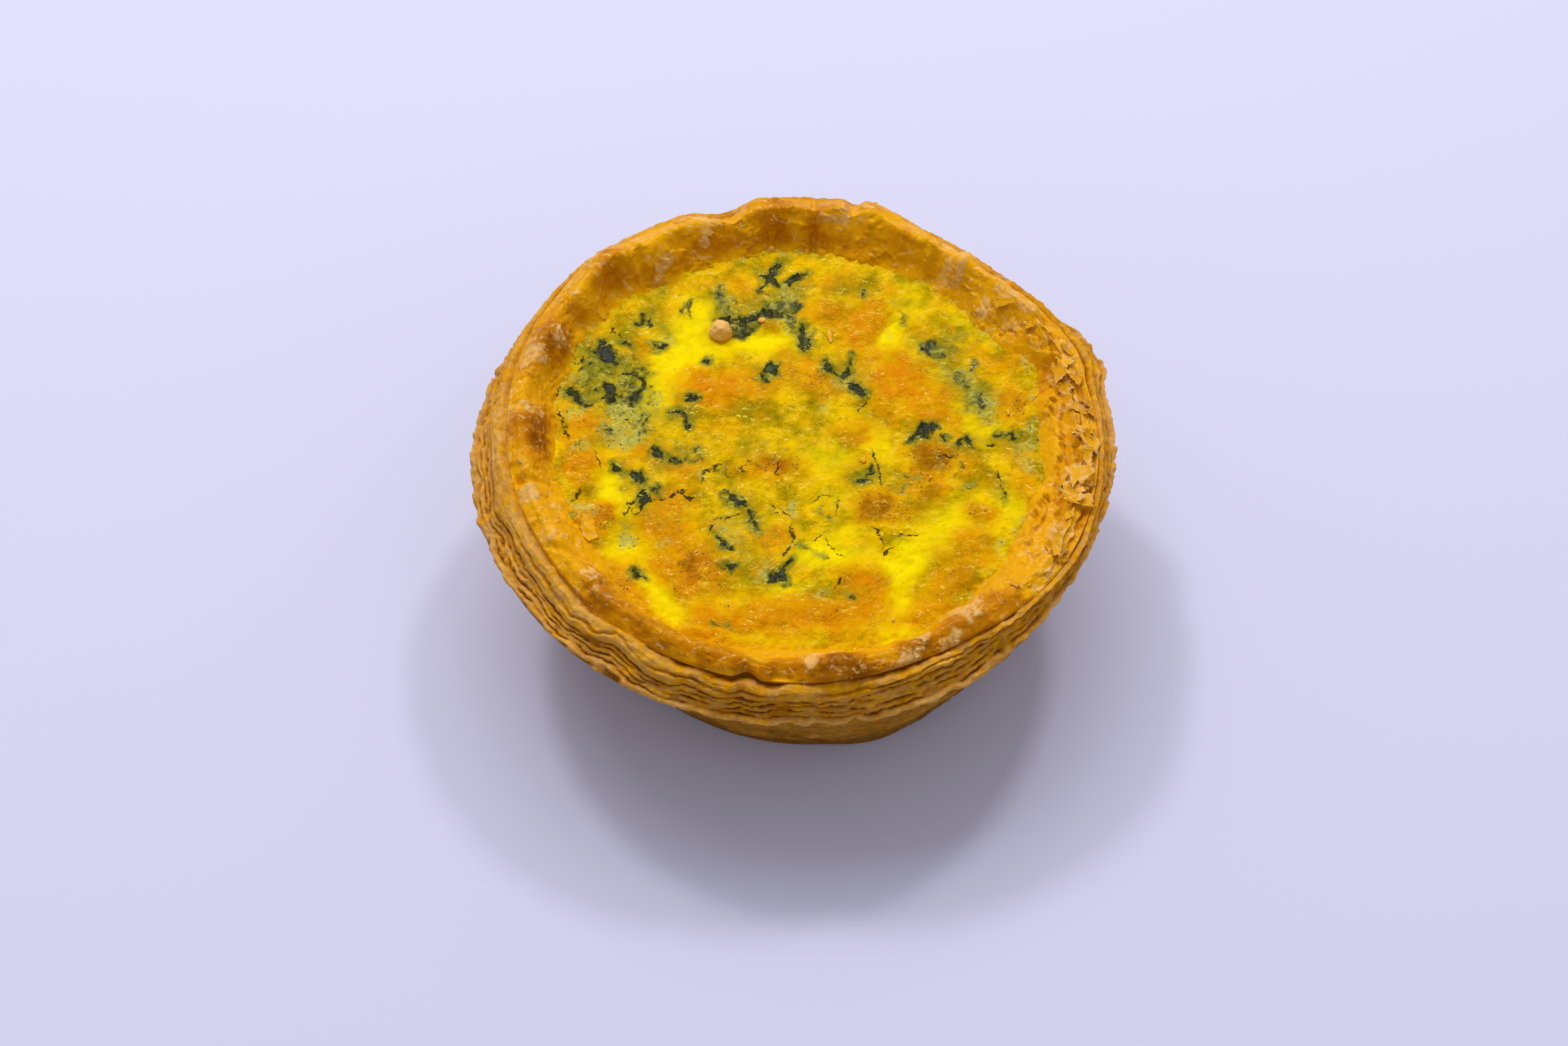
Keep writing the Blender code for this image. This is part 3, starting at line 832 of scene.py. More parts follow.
@dataclass
class Turned:
    """A pastry piece spun from a section, then shaped at every azimuth and painted with browning and painted
    shade.
    """

    rim: Rim
    grain: Grain
    name: str = "pastry"
    steps: int = 720
    coarse_steps: int = 60
    stations: dict[str, slice] = field(default_factory=dict)

    def parts(self, azimuth: Array) -> list[tuple[str, tuple[Array, Array]]]:
        """Return the section's named stretches, each with its radii and heights."""
        raise NotImplementedError

    def lift(self, azimuth: Array, radius: Array, height: Array) -> Array:
        """Return how far each point of the section stands out from it."""
        raise NotImplementedError

    def masks(self, azimuth: Array, radius: Array, height: Array, lift: Array) -> dict[str, Array]:
        """Return the masks that the pastry's finish reads, by name."""
        raise NotImplementedError

    def section(self, azimuth: Array) -> tuple[Array, Array]:
        """Return the section at each azimuth, as rows of radius and of height."""
        parts = self.parts(azimuth)
        start = 0
        for name, (radius, _) in parts:
            self.stations[name] = slice(start, start + len(radius))
            start += len(radius)
        return (np.concatenate([part[1][0] for part in parts]),
                np.concatenate([part[1][1] for part in parts]))

    def only(self, station: str, values: Array) -> Array:
        """Return values kept at one station of the section and zero elsewhere."""
        kept = np.zeros_like(values)
        kept[self.stations[station]] = values[self.stations[station]]
        return kept

    @staticmethod
    def outward(radius: Array, height: Array) -> tuple[Array, Array]:
        """Return how far out and how far up a step of 1 out of the section leads."""
        run, rise = np.gradient(radius, axis=0), np.gradient(height, axis=0)
        length = np.hypot(run, rise) + 1e-9
        return rise / length, -run / length

    def build(self, finish: Finish) -> Piece:
        """Spin the section, shape it at every azimuth and paint its browning and painted shade.

        Args:
            finish: the pastry's material.

        Returns:
            The finished piece.
        """
        azimuth = np.arange(self.steps) * 360.0 / self.steps
        radius, height = self.section(azimuth)
        lift = self.lift(azimuth, radius, height)
        out, up = self.outward(radius, height)
        masks = self.masks(azimuth, radius, height, lift)
        radius, height = radius + lift * out, np.maximum(height + lift * up, 0.0)
        piece = self.spun_blank(radius[:, 0], height[:, 0])
        rows = Make.read(piece.data.attributes["row"].data, "value")
        blank = Make.places(piece)
        turn = np.degrees(np.arctan2(blank[:, 1], blank[:, 0])) % 360.0
        columns = np.rint(turn * self.steps / 360.0).astype(int) % self.steps
        places = circle_place(radius, azimuth[None], height)
        places[..., 0] += self.rim.lean(height)
        Make.move(piece, places[rows, columns])
        Make.paint(piece, {name: values[rows, columns] for name, values in masks.items()})
        piece.data.attributes.remove(piece.data.attributes["row"])
        Make.seal(piece)
        Make.dress(piece, finish, "baked_puff_pastry", "pastry_crust")
        return piece

    def spun_blank(self, radius: Array, height: Array) -> Piece:
        """Draw the section as a line of points, spin it round the middle and refine the turns.

        Args:
            radius: the section's radii.
            height: the section's heights.

        Returns:
            The blank, with the section's row stored at each vertex.
        """
        Make.deselect()
        bpy.ops.mesh.primitive_plane_add(size=0.001)
        piece = Make.adopt(self.name)
        Make.edit(piece)
        bpy.ops.mesh.merge(type="CENTER")
        bpy.ops.transform.translate(value=(radius[0] * MM, 0.0, height[0] * MM))
        for out, up in zip(np.diff(radius), np.diff(height)):
            bpy.ops.mesh.extrude_region_move(
                TRANSFORM_OT_translate={"value": (out * MM, 0.0, up * MM)})
        bpy.ops.object.mode_set(mode="OBJECT")
        marks = piece.data.attributes.new("row", "INT", "POINT")
        marks.data.foreach_set("value", np.arange(len(radius), dtype=np.int32))
        Make.edit(piece)
        bpy.ops.mesh.spin(steps=self.coarse_steps, angle=math.tau, center=(0, 0, 0), axis=(0, 0, 1))
        bpy.ops.object.mode_set(mode="OBJECT")
        rows = Make.read(piece.data.attributes["row"].data, "value")
        Make.refine(piece, rows, self.steps // self.coarse_steps - 1)
        return piece


@dataclass
class CaseWall(Turned):
    """The case below the top skin: foot, tapering wall, recess behind the layers and inside."""

    name: str = "pastry_wall"
    wall_rows: int = 92
    layer_room: float = 2.8

    def parts(self, azimuth: Array) -> list[tuple[str, tuple[Array, Array]]]:
        """Return the section's named stretches, from under the foot up and in to the middle."""
        rim = self.rim
        edge_r, edge_z = rim.edge(azimuth)
        lip_r, lip_z = rim.lip(azimuth)
        crest_r, crest_z = rim.crest(azimuth)
        mouth = rim.mouth(azimuth)
        zero = np.zeros_like(azimuth)
        foot = rim.base_radius + rim.foot_mark.out * rim.foot_mark.swell(azimuth)
        room = self.layer_room
        return [
            ("pole", (zero[None], zero[None])),
            ("foot", curve_through([(foot - 6.0, zero), (foot - rim.foot_rounding, zero),
                                    (foot - 0.25, zero + 0.4), (foot, zero + rim.wall_foot)], 8)),
            ("wall", curve_through([(foot + 0.5, zero + rim.wall_foot + 1.4),
                                    (0.5 * (foot + edge_r) - 1.6, 0.5 * edge_z),
                                    (edge_r - 4.6, edge_z - 4.2)], self.wall_rows)),
            ("recess", curve_through([(edge_r - room - 1.0, edge_z - 1.8),
                                      (lip_r - room - 0.3, lip_z - 2.2)], 4)),
            ("shelf", curve_through([(crest_r, crest_z - 5.0),
                                     (mouth + 2.4, rim.fill - 3.0 + zero)], 3)),
            ("inside", ((rim.base_radius - rim.wall_thickness + zero)[None],
                        (rim.floor + zero)[None])),
            ("hub", (zero[None], (rim.floor + zero)[None])),
        ]

    def strips(self, places: Array, across: float) -> Array:
        """Return noise drawn out along the wall, whose lines lie across millimetres apart."""
        return self.grain.rough(places * (1.0, 1.0, 9.0 / across) + 110.0, 9.0, 4, 0.6)

    def lift(self, azimuth: Array, radius: Array, height: Array) -> Array:
        """Return how far each point of the section stands out from it."""
        places = circle_place(radius, azimuth[None], height)
        grain = self.grain
        ledges = 0.7 * self.strips(places, 2.4) + 0.3 * (0.5 - np.abs(self.strips(places + 50.0, 1.6)))
        wall = (0.4 * grain.rough(places, 13.0, 2) + ledges + 0.2 * grain.rough(places + 70.0, 2.4, 4, 0.6)
                - 0.7 * ramp(0.42, 0.6, grain.rough(places + 140.0, 2.6, 3)))
        top = self.rim.edge(azimuth)[1][None] - 2.5
        return self.only("wall", wall * ramp(0.0, 3.0, height) * ramp(0.0, 6.0, top - height))

    def masks(self, azimuth: Array, radius: Array, height: Array, lift: Array) -> dict[str, Array]:
        """Return the masks that the pastry's finish reads, by name."""
        places = circle_place(radius, azimuth[None], height)
        grain = self.grain
        # Darker towards the foot and where the wall sinks in; paler where it stands out, above the foot.
        bake = 0.86 + 0.35 * grain.rough(places + 20.0, 9.0, 3) + 1.4 * ramp(14.0, 0.0, height) - 0.35 * lift
        pale = 0.12 + 0.6 * self.strips(places + 66.0, 2.0) + 0.3 * lift
        bake[self.stations["recess"]] = 0.5
        return {"bake": bake, "pale": np.clip(pale, 0.0, 1.0) * ramp(2.0, 12.0, height), "girth": height,
                "leaved": np.ones_like(radius), "dull_and_shade": np.full_like(radius, 0.9)}


@dataclass
class TopSkin(Turned):
    """The puffed top skin: lip, crest and slope down to the custard, torn off along one side."""

    name: str = "pastry_top_skin"
    steps: int = 1080
    skin_rows: int = 80
    bare_radius: float = 54.6
    bare_drop: float = 1.3
    tread: float = 1.25
    fall: float = 0.42

    def parts(self, azimuth: Array) -> list[tuple[str, tuple[Array, Array]]]:
        """Return the section's named stretches, from under the lip over the top and back."""
        rim = self.rim
        lip_r, lip_z = rim.lip(azimuth)
        crest_r, crest_z = rim.crest(azimuth)
        mouth, zero = rim.mouth(azimuth), np.zeros_like(azimuth)
        start = (lip_r - 2.2, lip_z - 2.2)
        return [
            ("lip", curve_through([start, (lip_r - 0.2, lip_z - 1.1), (lip_r + 0.5, lip_z - 0.6)], 5)),
            ("skin", curve_through([
                (lip_r + 0.4, lip_z - 0.2),
                (0.55 * lip_r + 0.45 * crest_r, 0.4 * lip_z + 0.6 * crest_z),
                (crest_r, crest_z),
                (0.6 * crest_r + 0.4 * mouth, 0.62 * crest_z + 0.38 * rim.fill),
                (mouth + 1.8, rim.fill + 1.5 + zero),
                (mouth - 1.0, rim.fill - 1.5 + zero)], self.skin_rows)),
            ("under", curve_through([(mouth + 1.2, rim.fill - 3.6 + zero),
                                     (crest_r, crest_z - 5.6), start], 4)),
        ]

    def bare(self, places: Array, azimuth: Array) -> Array:
        """Return where the top skin has torn off, from 0 to 1."""
        flat = places * (1.0, 1.0, 0.0)
        out = np.hypot(places[..., 0], places[..., 1]) + 3.0 * self.grain.rough(flat + 9.0, 6.0, 5, 0.66)
        start = self.bare_radius + moved(self.rim.skin_marks, azimuth)[0][None]
        return self.rim.torn(azimuth)[None] * ramp(-0.25, 0.25, out - start)

    def plates(self, places: Array) -> tuple[Array, Array]:
        """Return where thin sheets of skin still lie, from 0 to 1, and how near their edges are."""
        level = self.grain.rough(places + 600.0, 6.5, 5, 0.62)
        return ramp(0.16, 0.22, level), ramp(0.1, 0.0, np.abs(level - 0.22))

    def terraces(self, azimuth: Array, radius: Array, height: Array) -> tuple[Array, Array]:
        """Return the torn layers' stepped height, and how far each place is across its step."""
        turn = np.broadcast_to(np.radians(azimuth)[None] * 60.0, radius.shape)
        drawn_out = np.stack([radius * 1.1, turn * 0.75, height], -1)
        fall = self.fall * (62.0 - radius)
        level = (2.2 * self.grain.rough(drawn_out + 90.0, 9.0, 5, 0.48) + fall) / self.tread
        whole = np.floor(level)
        across = level - whole
        return self.tread * (whole + 0.2 * across + 0.8 * ramp(0.86, 1.0, across)) - fall, across

    def lift(self, azimuth: Array, radius: Array, height: Array) -> Array:
        """Return how far each point of the section stands out from it."""
        places = circle_place(radius, azimuth[None], height)
        grain = self.grain
        bulges = 1.1 * cover_all(RIM_BULGES, places, 0.8, add=True)
        swells = 0.7 * grain.rough(places, 9.0, 2) + 0.3 * np.abs(grain.rough(places + 31.0, 6.0, 2)) - 0.1
        blisters = 0.25 * ramp(0.0, 0.5, grain.rough(places + 50.0, 3.6, 3, 0.5))
        bubbles = 0.06 * np.abs(grain.rough(places + 70.0, 1.8, 2))
        skin = bulges + swells + blisters + bubbles + 0.32 * self.plates(places)[0]
        bare = self.bare(places, azimuth)
        steps, _ = self.terraces(azimuth, radius, height)
        crumbs = 0.2 * np.abs(grain.rough(places + 190.0, 1.6, 3, 0.6))
        torn = steps + crumbs - self.bare_drop + 1.2 * (1.0 - bare)
        skin = skin * (1.0 - 0.6 * bare) + bare * torn
        rows = np.arange(len(radius)) - self.stations["skin"].start
        return self.only("skin", ramp(-1, 5, rows)[:, None] * skin)

    def masks(self, azimuth: Array, radius: Array, height: Array, lift: Array) -> dict[str, Array]:
        """Return the masks that the pastry's finish reads, by name."""
        places = circle_place(radius, azimuth[None], height)
        grain = self.grain
        bent = grain.push(places, 1.6, 5.0, 3, 0.5, 211.0, 307.0)
        flecks = ramp(0.34, 0.5, grain.rough(places + 401.0, 3.4, 5, 0.6))
        bare = self.bare(places, azimuth)
        _, across = self.terraces(azimuth, radius, height)
        brown_and_shade = 0.02 + 0.26 * grain.rough(places + 20.0, 6.0, 4) + 0.85 * cover_all(RIM_BROWN, bent, 0.7)
        brown_and_shade = brown_and_shade + 0.14 * lift
        # The pale along the edges of the skin's thin sheets is a painted highlight; the other pale patches
        # are partly painted highlights, partly pale flakes.
        pale = 0.85 * cover_all(RIM_PALE_AND_SHINE, bent, 0.5) + 0.5 * flecks + 0.3 * self.plates(places)[1]
        # Painted shadow at the foot of each torn step, and a painted highlight along the top edge of each
        # step.
        step_foot_shadow = ramp(0.6, 0.85, across) * ramp(1.0, 0.9, across)
        bare_brown_and_shadow = 0.05 + 0.5 * step_foot_shadow + 0.25 * grain.rough(places + 8.0, 6.0, 2)
        bare_pale_and_lit_edge = 0.25 + 0.45 * grain.rough(places + 77.0, 2.6, 4, 0.65) + 0.3 * ramp(0.12, 0.0, across)
        brown_and_shade = brown_and_shade * (1.0 - bare) + bare * bare_brown_and_shadow
        pale = pale * (1.0 - bare) + bare * bare_pale_and_lit_edge + 0.8 * bare * (1.0 - bare)
        inward = radius - self.rim.mouth(azimuth)[None]
        front = self.rim.wet_mark.swell(azimuth)[None]
        egg = ramp(2.4 + 3.6 * front, 0.0, inward + 1.6 * grain.rough(places + 240.0, 4.2, 4, 0.6))
        # The lip's underside is painted browner, as painted shade under the overhang.
        brown_and_shade[self.stations["lip"]] = 0.6
        return {"bake": brown_and_shade, "pale": np.clip(pale, 0.0, 1.0), "egg": self.only("skin", 0.85 * egg)}

    def on_skin(self, azimuth: Array, share: Array) -> tuple[Array, Array]:
        """Return places on the top skin, and the directions that point out of it.

        Args:
            azimuth: each place's azimuth.
            share: how far each place is from the lip, 0, to the custard, 1.

        Returns:
            The places, and the outward directions.
        """
        radius, height = self.section(azimuth)
        lift = self.lift(azimuth, radius, height)
        out, up = self.outward(radius, height)
        span = self.stations["skin"]
        row = span.start + np.rint(share * (span.stop - span.start - 1)).astype(int)
        spot = (row, np.arange(len(azimuth)))
        places = circle_place((radius + out * lift)[spot], azimuth, (height + up * lift)[spot])
        places[:, 0] += self.rim.lean(places[:, 2])
        return places, circle_place(out[spot], azimuth, up[spot])


@dataclass
class Layers:
    """The torn sheets of the cut edge: a thick bolster under the top skin, thin sheets and a frill."""

    rim: Rim
    grain: Grain
    steps: int = 240
    sides: int = 96
    front: float = 0.92
    depth: float = 3.0
    thin_sheets: float = 4.0
    groove: float = 1.4
    bolster_out: float = 1.7
    frill_out: float = 0.8

    def build(self, finish: Finish) -> Piece:
        """Model the sheets from one ring whose outer face is drawn into ledges and grooves.

        Args:
            finish: the pastry's material.

        Returns:
            The finished piece.
        """
        Make.deselect()
        bpy.ops.mesh.primitive_torus_add(major_segments=self.steps, minor_segments=self.sides,
                                         major_radius=0.066, minor_radius=0.001)
        ring = Make.adopt("pastry_layers")
        Make.refine(ring, np.arange(self.steps * self.sides) % self.sides, 3)
        blank = Make.places(ring)
        azimuth = np.degrees(np.arctan2(blank[:, 1], blank[:, 0])) % 360.0
        turn = np.arctan2(blank[:, 2], np.hypot(blank[:, 0], blank[:, 1]) - 66.0) / np.pi
        behind = np.clip((np.abs(turn) - self.front) / (1.0 - self.front), 0.0, 1.0)
        share = 0.5 + 0.5 * np.where(behind > 0.0, np.sign(turn) * (1.0 - behind), turn / self.front)
        out, ledge, sheet = self.ledges(azimuth, share)
        out = np.where(behind > 0.0, -1.2 - self.depth * behind, out)
        edge_r, edge_z = self.rim.edge(azimuth)
        lip_r, lip_z = self.rim.lip(azimuth)
        foot_r, foot_z, top_r, top_z = edge_r - 0.8, edge_z - 0.9, lip_r - 0.1, lip_z - 0.7
        face = np.hypot(top_r - foot_r, top_z - foot_z)
        up_r, up_z = (top_r - foot_r) / face, (top_z - foot_z) / face
        places = circle_place(foot_r + up_r * share * face + up_z * out, azimuth,
                              foot_z + up_z * share * face - up_r * out)
        Make.move(ring, places)
        rough = self.grain.rough
        sheet_tone = 0.25 * rough(circle_place(66.0, azimuth, 40.0 * sheet + 300.0), 20.0, 2)
        # Painted shade: the grooves between the sheets are painted browner and less pale, and the low sheets
        # at the front are painted darker and duller.
        depth = ramp(0.75, 0.15, ledge)
        left = self.rim.left_mark.swell(azimuth)
        front_shade = ramp(0.55, 0.0, share) * self.rim.shade_mark.swell(azimuth) * (sheet > 0.5)
        flour = 0.6 * rough(places + 95.0, 2.6, 4) + 0.4 * rough(places + 195.0, 1.0, 2)
        Make.paint(ring, {
            "bake": 0.25 + sheet_tone + 0.24 * rough(places + 15.0, 6.0, 3) + 0.7 * depth + 0.4 * front_shade,
            "pale": 0.34 + 0.2 * left + flour - sheet_tone - 0.5 * depth + 0.4 * (sheet < 0.5),
            "girth": share * face,
            "leaved": 0.7,
            "dull_and_shade": 0.25 + 0.35 * front_shade,
        })
        Make.seal(ring)
        Make.dress(ring, finish, "baked_puff_pastry", "pastry_crust")
        return ring

    def ledges(self, azimuth: Array, share: Array) -> tuple[Array, Array, Array]:
        """Return the form of the sheets' outer face.

        Args:
            azimuth: each place's azimuth.
            share: each place's share of the way from the wall up to the top skin.

        Returns:
            How far each place stands out, how far it is out of a groove, and which sheet it is on.
        """
        rough = self.grain.rough
        level_line = circle_place(66.0, azimuth, np.zeros_like(azimuth))
        bent = share + 0.09 * rough(level_line + 110.0, 24.0, 3, 0.55)
        bent = bent + 0.1 * rough(circle_place(66.0, azimuth, 12.0 * share + 40.0), 6.0, 4, 0.6)
        bolster = self.rim.bolster_share.at(azimuth) * (1.0 + 0.25 * rough(level_line + 150.0, 12.0, 3))
        seam = 0.95 - bolster
        level = (self.thin_sheets - 1e-6) * np.clip(bent / seam, 0.0, 1.0) ** 1.2
        sheet = np.floor(level)
        across = level - sheet
        along = circle_place(66.0, azimuth, 40.0 * sheet)
        open_seam = ramp(-0.5, 0.3, rough(circle_place(66.0, azimuth, 40.0 * np.rint(level) + 500.0), 5.0, 3))
        edge = 1.0 - np.abs(2.0 * across - 1.0)
        ledge = 1.0 - (1.0 - edge) ** 3 * open_seam
        left = self.rim.left_mark.swell(azimuth)
        proud = 0.6 * rough(along, 12.0, 3) + (0.28 + 0.2 * left) * rough(along + 70.0, 2.2, 4, 0.6)
        proud = proud - 0.9 * ramp(0.2, 0.5, rough(along + 190.0, 6.0, 3))
        frill = self.frill_out + (0.45 + 0.5 * left) * rough(level_line + 900.0, 3.4, 4, 0.6)
        proud = proud + frill * (sheet < 0.5)
        fine = rough(circle_place(66.0, azimuth, 9.0 * share), 1.4, 3, 0.6)
        pleats = rough(circle_place(66.0 / 1.2, azimuth, 2.5 * share + 9.0 * sheet), 1.0, 3)
        thin_out = proud * edge**0.5 - self.groove * (1.0 - ledge) + 0.25 * fine + 0.15 * pleats
        thin_out = np.maximum(thin_out, -1.0 - 1.4 * np.minimum(sheet, 1.0))
        high = (bent - seam) / bolster
        round_off = np.sqrt(np.clip(1.0 - (2.0 * high - 1.0) ** 2, 0.0, 1.0))
        crinkles = rough(circle_place(66.0 / 1.4, azimuth, 3.0 * high), 1.0, 3)
        ridges = rough(circle_place(66.0 / 14.0, azimuth, 4.5 * high), 1.0, 3)
        split = ramp(0.13, 0.0, np.abs(high - 0.45 - 0.16 * rough(level_line + 77.0, 9.0, 3)))
        split = split * ramp(-0.2, 0.2, rough(level_line + 177.0, 30.0, 2))
        over = left * ramp(0.4, 1.0, high)
        groove = self.groove * (1.0 - 0.65 * ramp(0.4, 0.8, high))
        relief = 0.25 * crinkles + 0.3 * ridges - 0.8 * split + 0.1 * fine
        thick_out = (self.bolster_out + groove + relief) * round_off - groove + 0.95 * over
        thick_ledge = np.maximum(round_off, 0.9 * over) - 0.6 * split
        on_bolster = high > 0.0
        return (np.where(on_bolster, thick_out, thin_out), np.where(on_bolster, thick_ledge, ledge),
                np.where(on_bolster, self.thin_sheets + 1.0, sheet))


@dataclass
class TornFlakes:
    """The thin flakes that lie loose where the top skin broke off the rim."""

    skin: TopSkin
    seed: int = 5
    count: int = 40
    finest: float = 1.4
    largest: float = 6.5
    thickness: float = 0.1

    def build(self, finish: Finish) -> Piece:
        """Model a flake, copy it over the torn stretch, each copy of its own shape, and join them.

        Args:
            finish: the pastry's material.

        Returns:
            The joined piece.
        """
        draw = np.random.default_rng(self.seed)
        azimuth = self.skin.rim.torn_mark.middle + draw.triangular(-44.0, -2.0, 38.0, self.count)
        share = draw.uniform(0.03, 0.55, self.count)
        places, out = self.skin.on_skin(azimuth, share)
        Make.deselect()
        bpy.ops.mesh.primitive_grid_add(x_subdivisions=10, y_subdivisions=8, size=2.0 * MM)
        first = Make.adopt("flake")
        blank = Make.places(first)
        flakes = Make.copies(first, self.count)
        for flake, place, normal in zip(flakes, places, out):
            self.shape(flake, blank, place, normal, draw)
        piece = Make.join(flakes, "torn_flakes")
        Make.thicken(piece, self.thickness)
        Make.dress(piece, finish, "baked_puff_pastry", "pastry_crust")
        return piece

    def shape(self, flake: Piece, blank: Array, place: Array, normal: Array,
              draw: np.random.Generator) -> None:
        """Give one flake its ragged outline, curl and place, and paint it.

        Args:
            flake: the flake.
            blank: the flat places of its vertices, from -1 to 1 each way.
            place: where on the rim it is rooted.
            normal: the direction that points out of the rim there.
            draw: the source of chance.
        """
        long = self.finest + (self.largest - self.finest) * draw.random() ** 2.2
        wide = long * draw.uniform(0.35, 0.8)
        u, v = blank[:, 0], blank[:, 1]
        ragged = 1.0 + 0.14 * draw.normal(size=len(u)) * (np.maximum(np.abs(u), np.abs(v)) > 0.9)
        curl = draw.uniform(0.02, 0.1) * long
        lift = curl * (u * u + 0.3 * v * u) + 0.03 * draw.normal(size=len(u))
        local = np.column_stack([u * ragged * long / 2.0, v * ragged * wide / 2.0 * (1.0 - 0.3 * u), lift])
        tilt = math.radians(draw.choice([2.0, 5.0, 9.0]) + draw.normal(0.0, 2.0))
        lean = Matrix.Rotation(tilt, 3, "Y")
        yaw = Matrix.Rotation(draw.uniform(0.0, math.tau), 3, "Z")
        stand = Vector(normal).to_track_quat("Z", "Y").to_matrix()
        turned = local @ np.array(stand @ yaw @ lean).T
        sunk = place + np.array(normal) * (0.45 * long * math.sin(abs(tilt)) + 0.25)
        Make.move(flake, turned + sunk)
        border = ramp(0.6, 1.0, np.maximum(np.abs(u), np.abs(v)))
        Make.paint(flake, {"bake": draw.uniform(0.0, 0.4), "pale": draw.uniform(0.1, 0.45) + 0.35 * border})


class Kind(Enum):
    """What a stroke on the custard is."""

    LEAF = "leaf"          # a dark scrap of spinach on the surface
    VEILED = "veiled"      # a leaf that shows grey green through the custard
    CRACK = "crack"        # a thin dark split
    GREEN = "green"        # a thin bright green shred


@dataclass(frozen=True)
class Stroke:
    """A scrap, shred or crack, as a smooth line of places with a width."""

    kind: Kind
    width: float
    line: tuple[tuple[float, float], ...]

    def centre_line(self, spacing: float = 0.4) -> Array:
        """Return places along the stroke's middle, about spacing apart."""
        line = np.array(self.line, dtype=float)
        line = np.concatenate([2 * line[:1] - line[1:2], line, 2 * line[-1:] - line[-2:-1]])
        places = []
        for before, start, end, after in zip(line, line[1:], line[2:], line[3:]):
            rows = max(2, int(np.hypot(*(end - start)) / spacing))
            places.append(smooth_between(before, start, end, after, (np.arange(rows) / rows)[:, None]))
        return np.concatenate([*places, line[-2:-1]])

    def measure(self, places: Array) -> tuple[Array, Array, Array]:
        """Measure places against the stroke's middle.

        Args:
            places: rows of east, north and up.

        Returns:
            The distance to the middle, the same with the sign of its side, and the share of the
            stroke's length where it is nearest.
        """
        middle = self.centre_line()
        low, high = middle.min(0) - 6.0, middle.max(0) + 6.0
        near = np.all((places[:, :2] > low) & (places[:, :2] < high), axis=1)
        gap, side, share = np.full(len(places), 99.0), np.ones(len(places)), np.full(len(places), 0.5)
        if near.any():
            away = places[near, None, :2] - middle[None]
            far = np.sqrt((away**2).sum(-1))
            pick = far.argmin(1)
            rows = np.arange(len(pick))
            gap[near] = far[rows, pick]
            along = np.gradient(middle, axis=0)[pick]
            off = away[rows, pick]
            side[near] = np.where(along[:, 0] * off[:, 1] > along[:, 1] * off[:, 0], 1.0, -1.0)
            share[near] = pick / (len(middle) - 1)
        return gap, side * gap, share


PUFFS = patches(
    (20, 16, 22, 22, 1.5), (13, 30, 16, 16), (5, 38, 18, 18, 0.9), (-20, 16, 20, 20, 1.1),
    (-7, 14, 18, 18, 0.9), (-26, -17, 18, 18, 1.2), (-22, -31, 18, 18, 1.3), (-5, -6, 18, 18, 0.9),
    (16, -16, 20, 20), (37, -17, 12, 12, 1.2), (35, -28, 18, 18), (8, -41, 20, 20, 1.5), (-14, -45, 12, 12),
    (-46, -3, 14, 14, 0.9), (-43, -20, 12, 12, 1.1), (28, 0, 16, 16, 0.9), (45, 13, 12, 12, 0.9),
    (43, 24, 12, 12, 0.8), (-42, 22, 18, 18, 0.9), (-28, 22, 16, 16, -1), (-10, 27, 16, 16, -0.9),
    (18, 25, 10, 10, -0.7), (-41, -12, 10, 10, -0.6), (-37, -28, 12, 12, -0.8),
    (32, -27.5, 20, 2.6, 0.7, 28), (33, -35, 20, 2.6, 0.8, 24), (30, -40, 20, 2.4, 0.7, 14),
    (-5, -37, 18, 2.2, 0.6, -8), (8, -31.5, 16, 2.6, 0.7, 4), (-8, -40.5, 12, 2.2, 0.5, -4),
    (10, -47, 22, 2.2, 0.6, 2), (-32, -36, 12, 2.2, 0.6, -50), (-19, -47, 10, 1.8, 0.5, -10),
    (46, -12, 12, 2, 0.5, 75), (44, -24, 10, 1.8, 0.5, 65), (27, 10, 12, 2.2, 0.5, -60),
    (30, -20, 12, 12, -0.6), (20, -35, 14, 14, -1), (20, -45, 8, 8, -0.7))

BRIGHT = patches(
    (-28.5, 22.5, 28, 8.5, 1, 70), (-20.5, 26, 7, 6, 0.7), (-9, 29, 13, 8, 1, 10), (-23, 36, 6, 9, 0.6),
    (19.5, 28.5, 12, 5.5, 1, 80), (23, 36, 9, 5, 0.45, 60), (29, 17.5, 7, 4.5, 0.55, 60),
    (36, 8, 12, 4.5, 0.75, -60), (15.5, 3, 10, 5, 0.85, -50), (42, 5.5, 5, 4, 0.55),
    (25, 43, 9, 5, 0.4, -50), (35.5, 37, 9, 4, 0.45, -45), (-41.5, -9, 15, 5.5, 0.9, -65),
    (-38.5, -17, 9, 6, 0.85, -60), (-35, -27, 8, 8), (-31.5, -35, 17, 5, 0.95, -52),
    (-6.5, -20, 5, 3.5, 0.4, 60), (31, -18.5, 16, 9, 0.65, 25), (22.5, -28.5, 16, 6.5, 1, 10),
    (20.3, -39.5, 19, 6, 1, 80), (6, -27, 15, 7, 0.85, -8), (11, -21, 10, 5, 0.6, 10),
    (0, -49, 28, 4.5, 0.5), (5, -3.5, 13, 10, 0.5, 10), (44.5, -15, 10, 6, 0.7, 75),
    (41.5, -25, 8, 3.5, 0.6, 80), (40, -34.5, 7, 4, 0.5, 60), (-16.5, -41, 12, 4, 0.4),
    (-26, -42.5, 8, 4, 0.6, -30), (22, -47, 12, 4, 0.6, 5), (-52, -6, 12, 2.5, 0.35, -80),
    (-1.5, -36.5, 8, 4, 0.45, 10), (9, 12, 8, 5, 0.3, 40), (8, -14, 9, 6, 0.35))

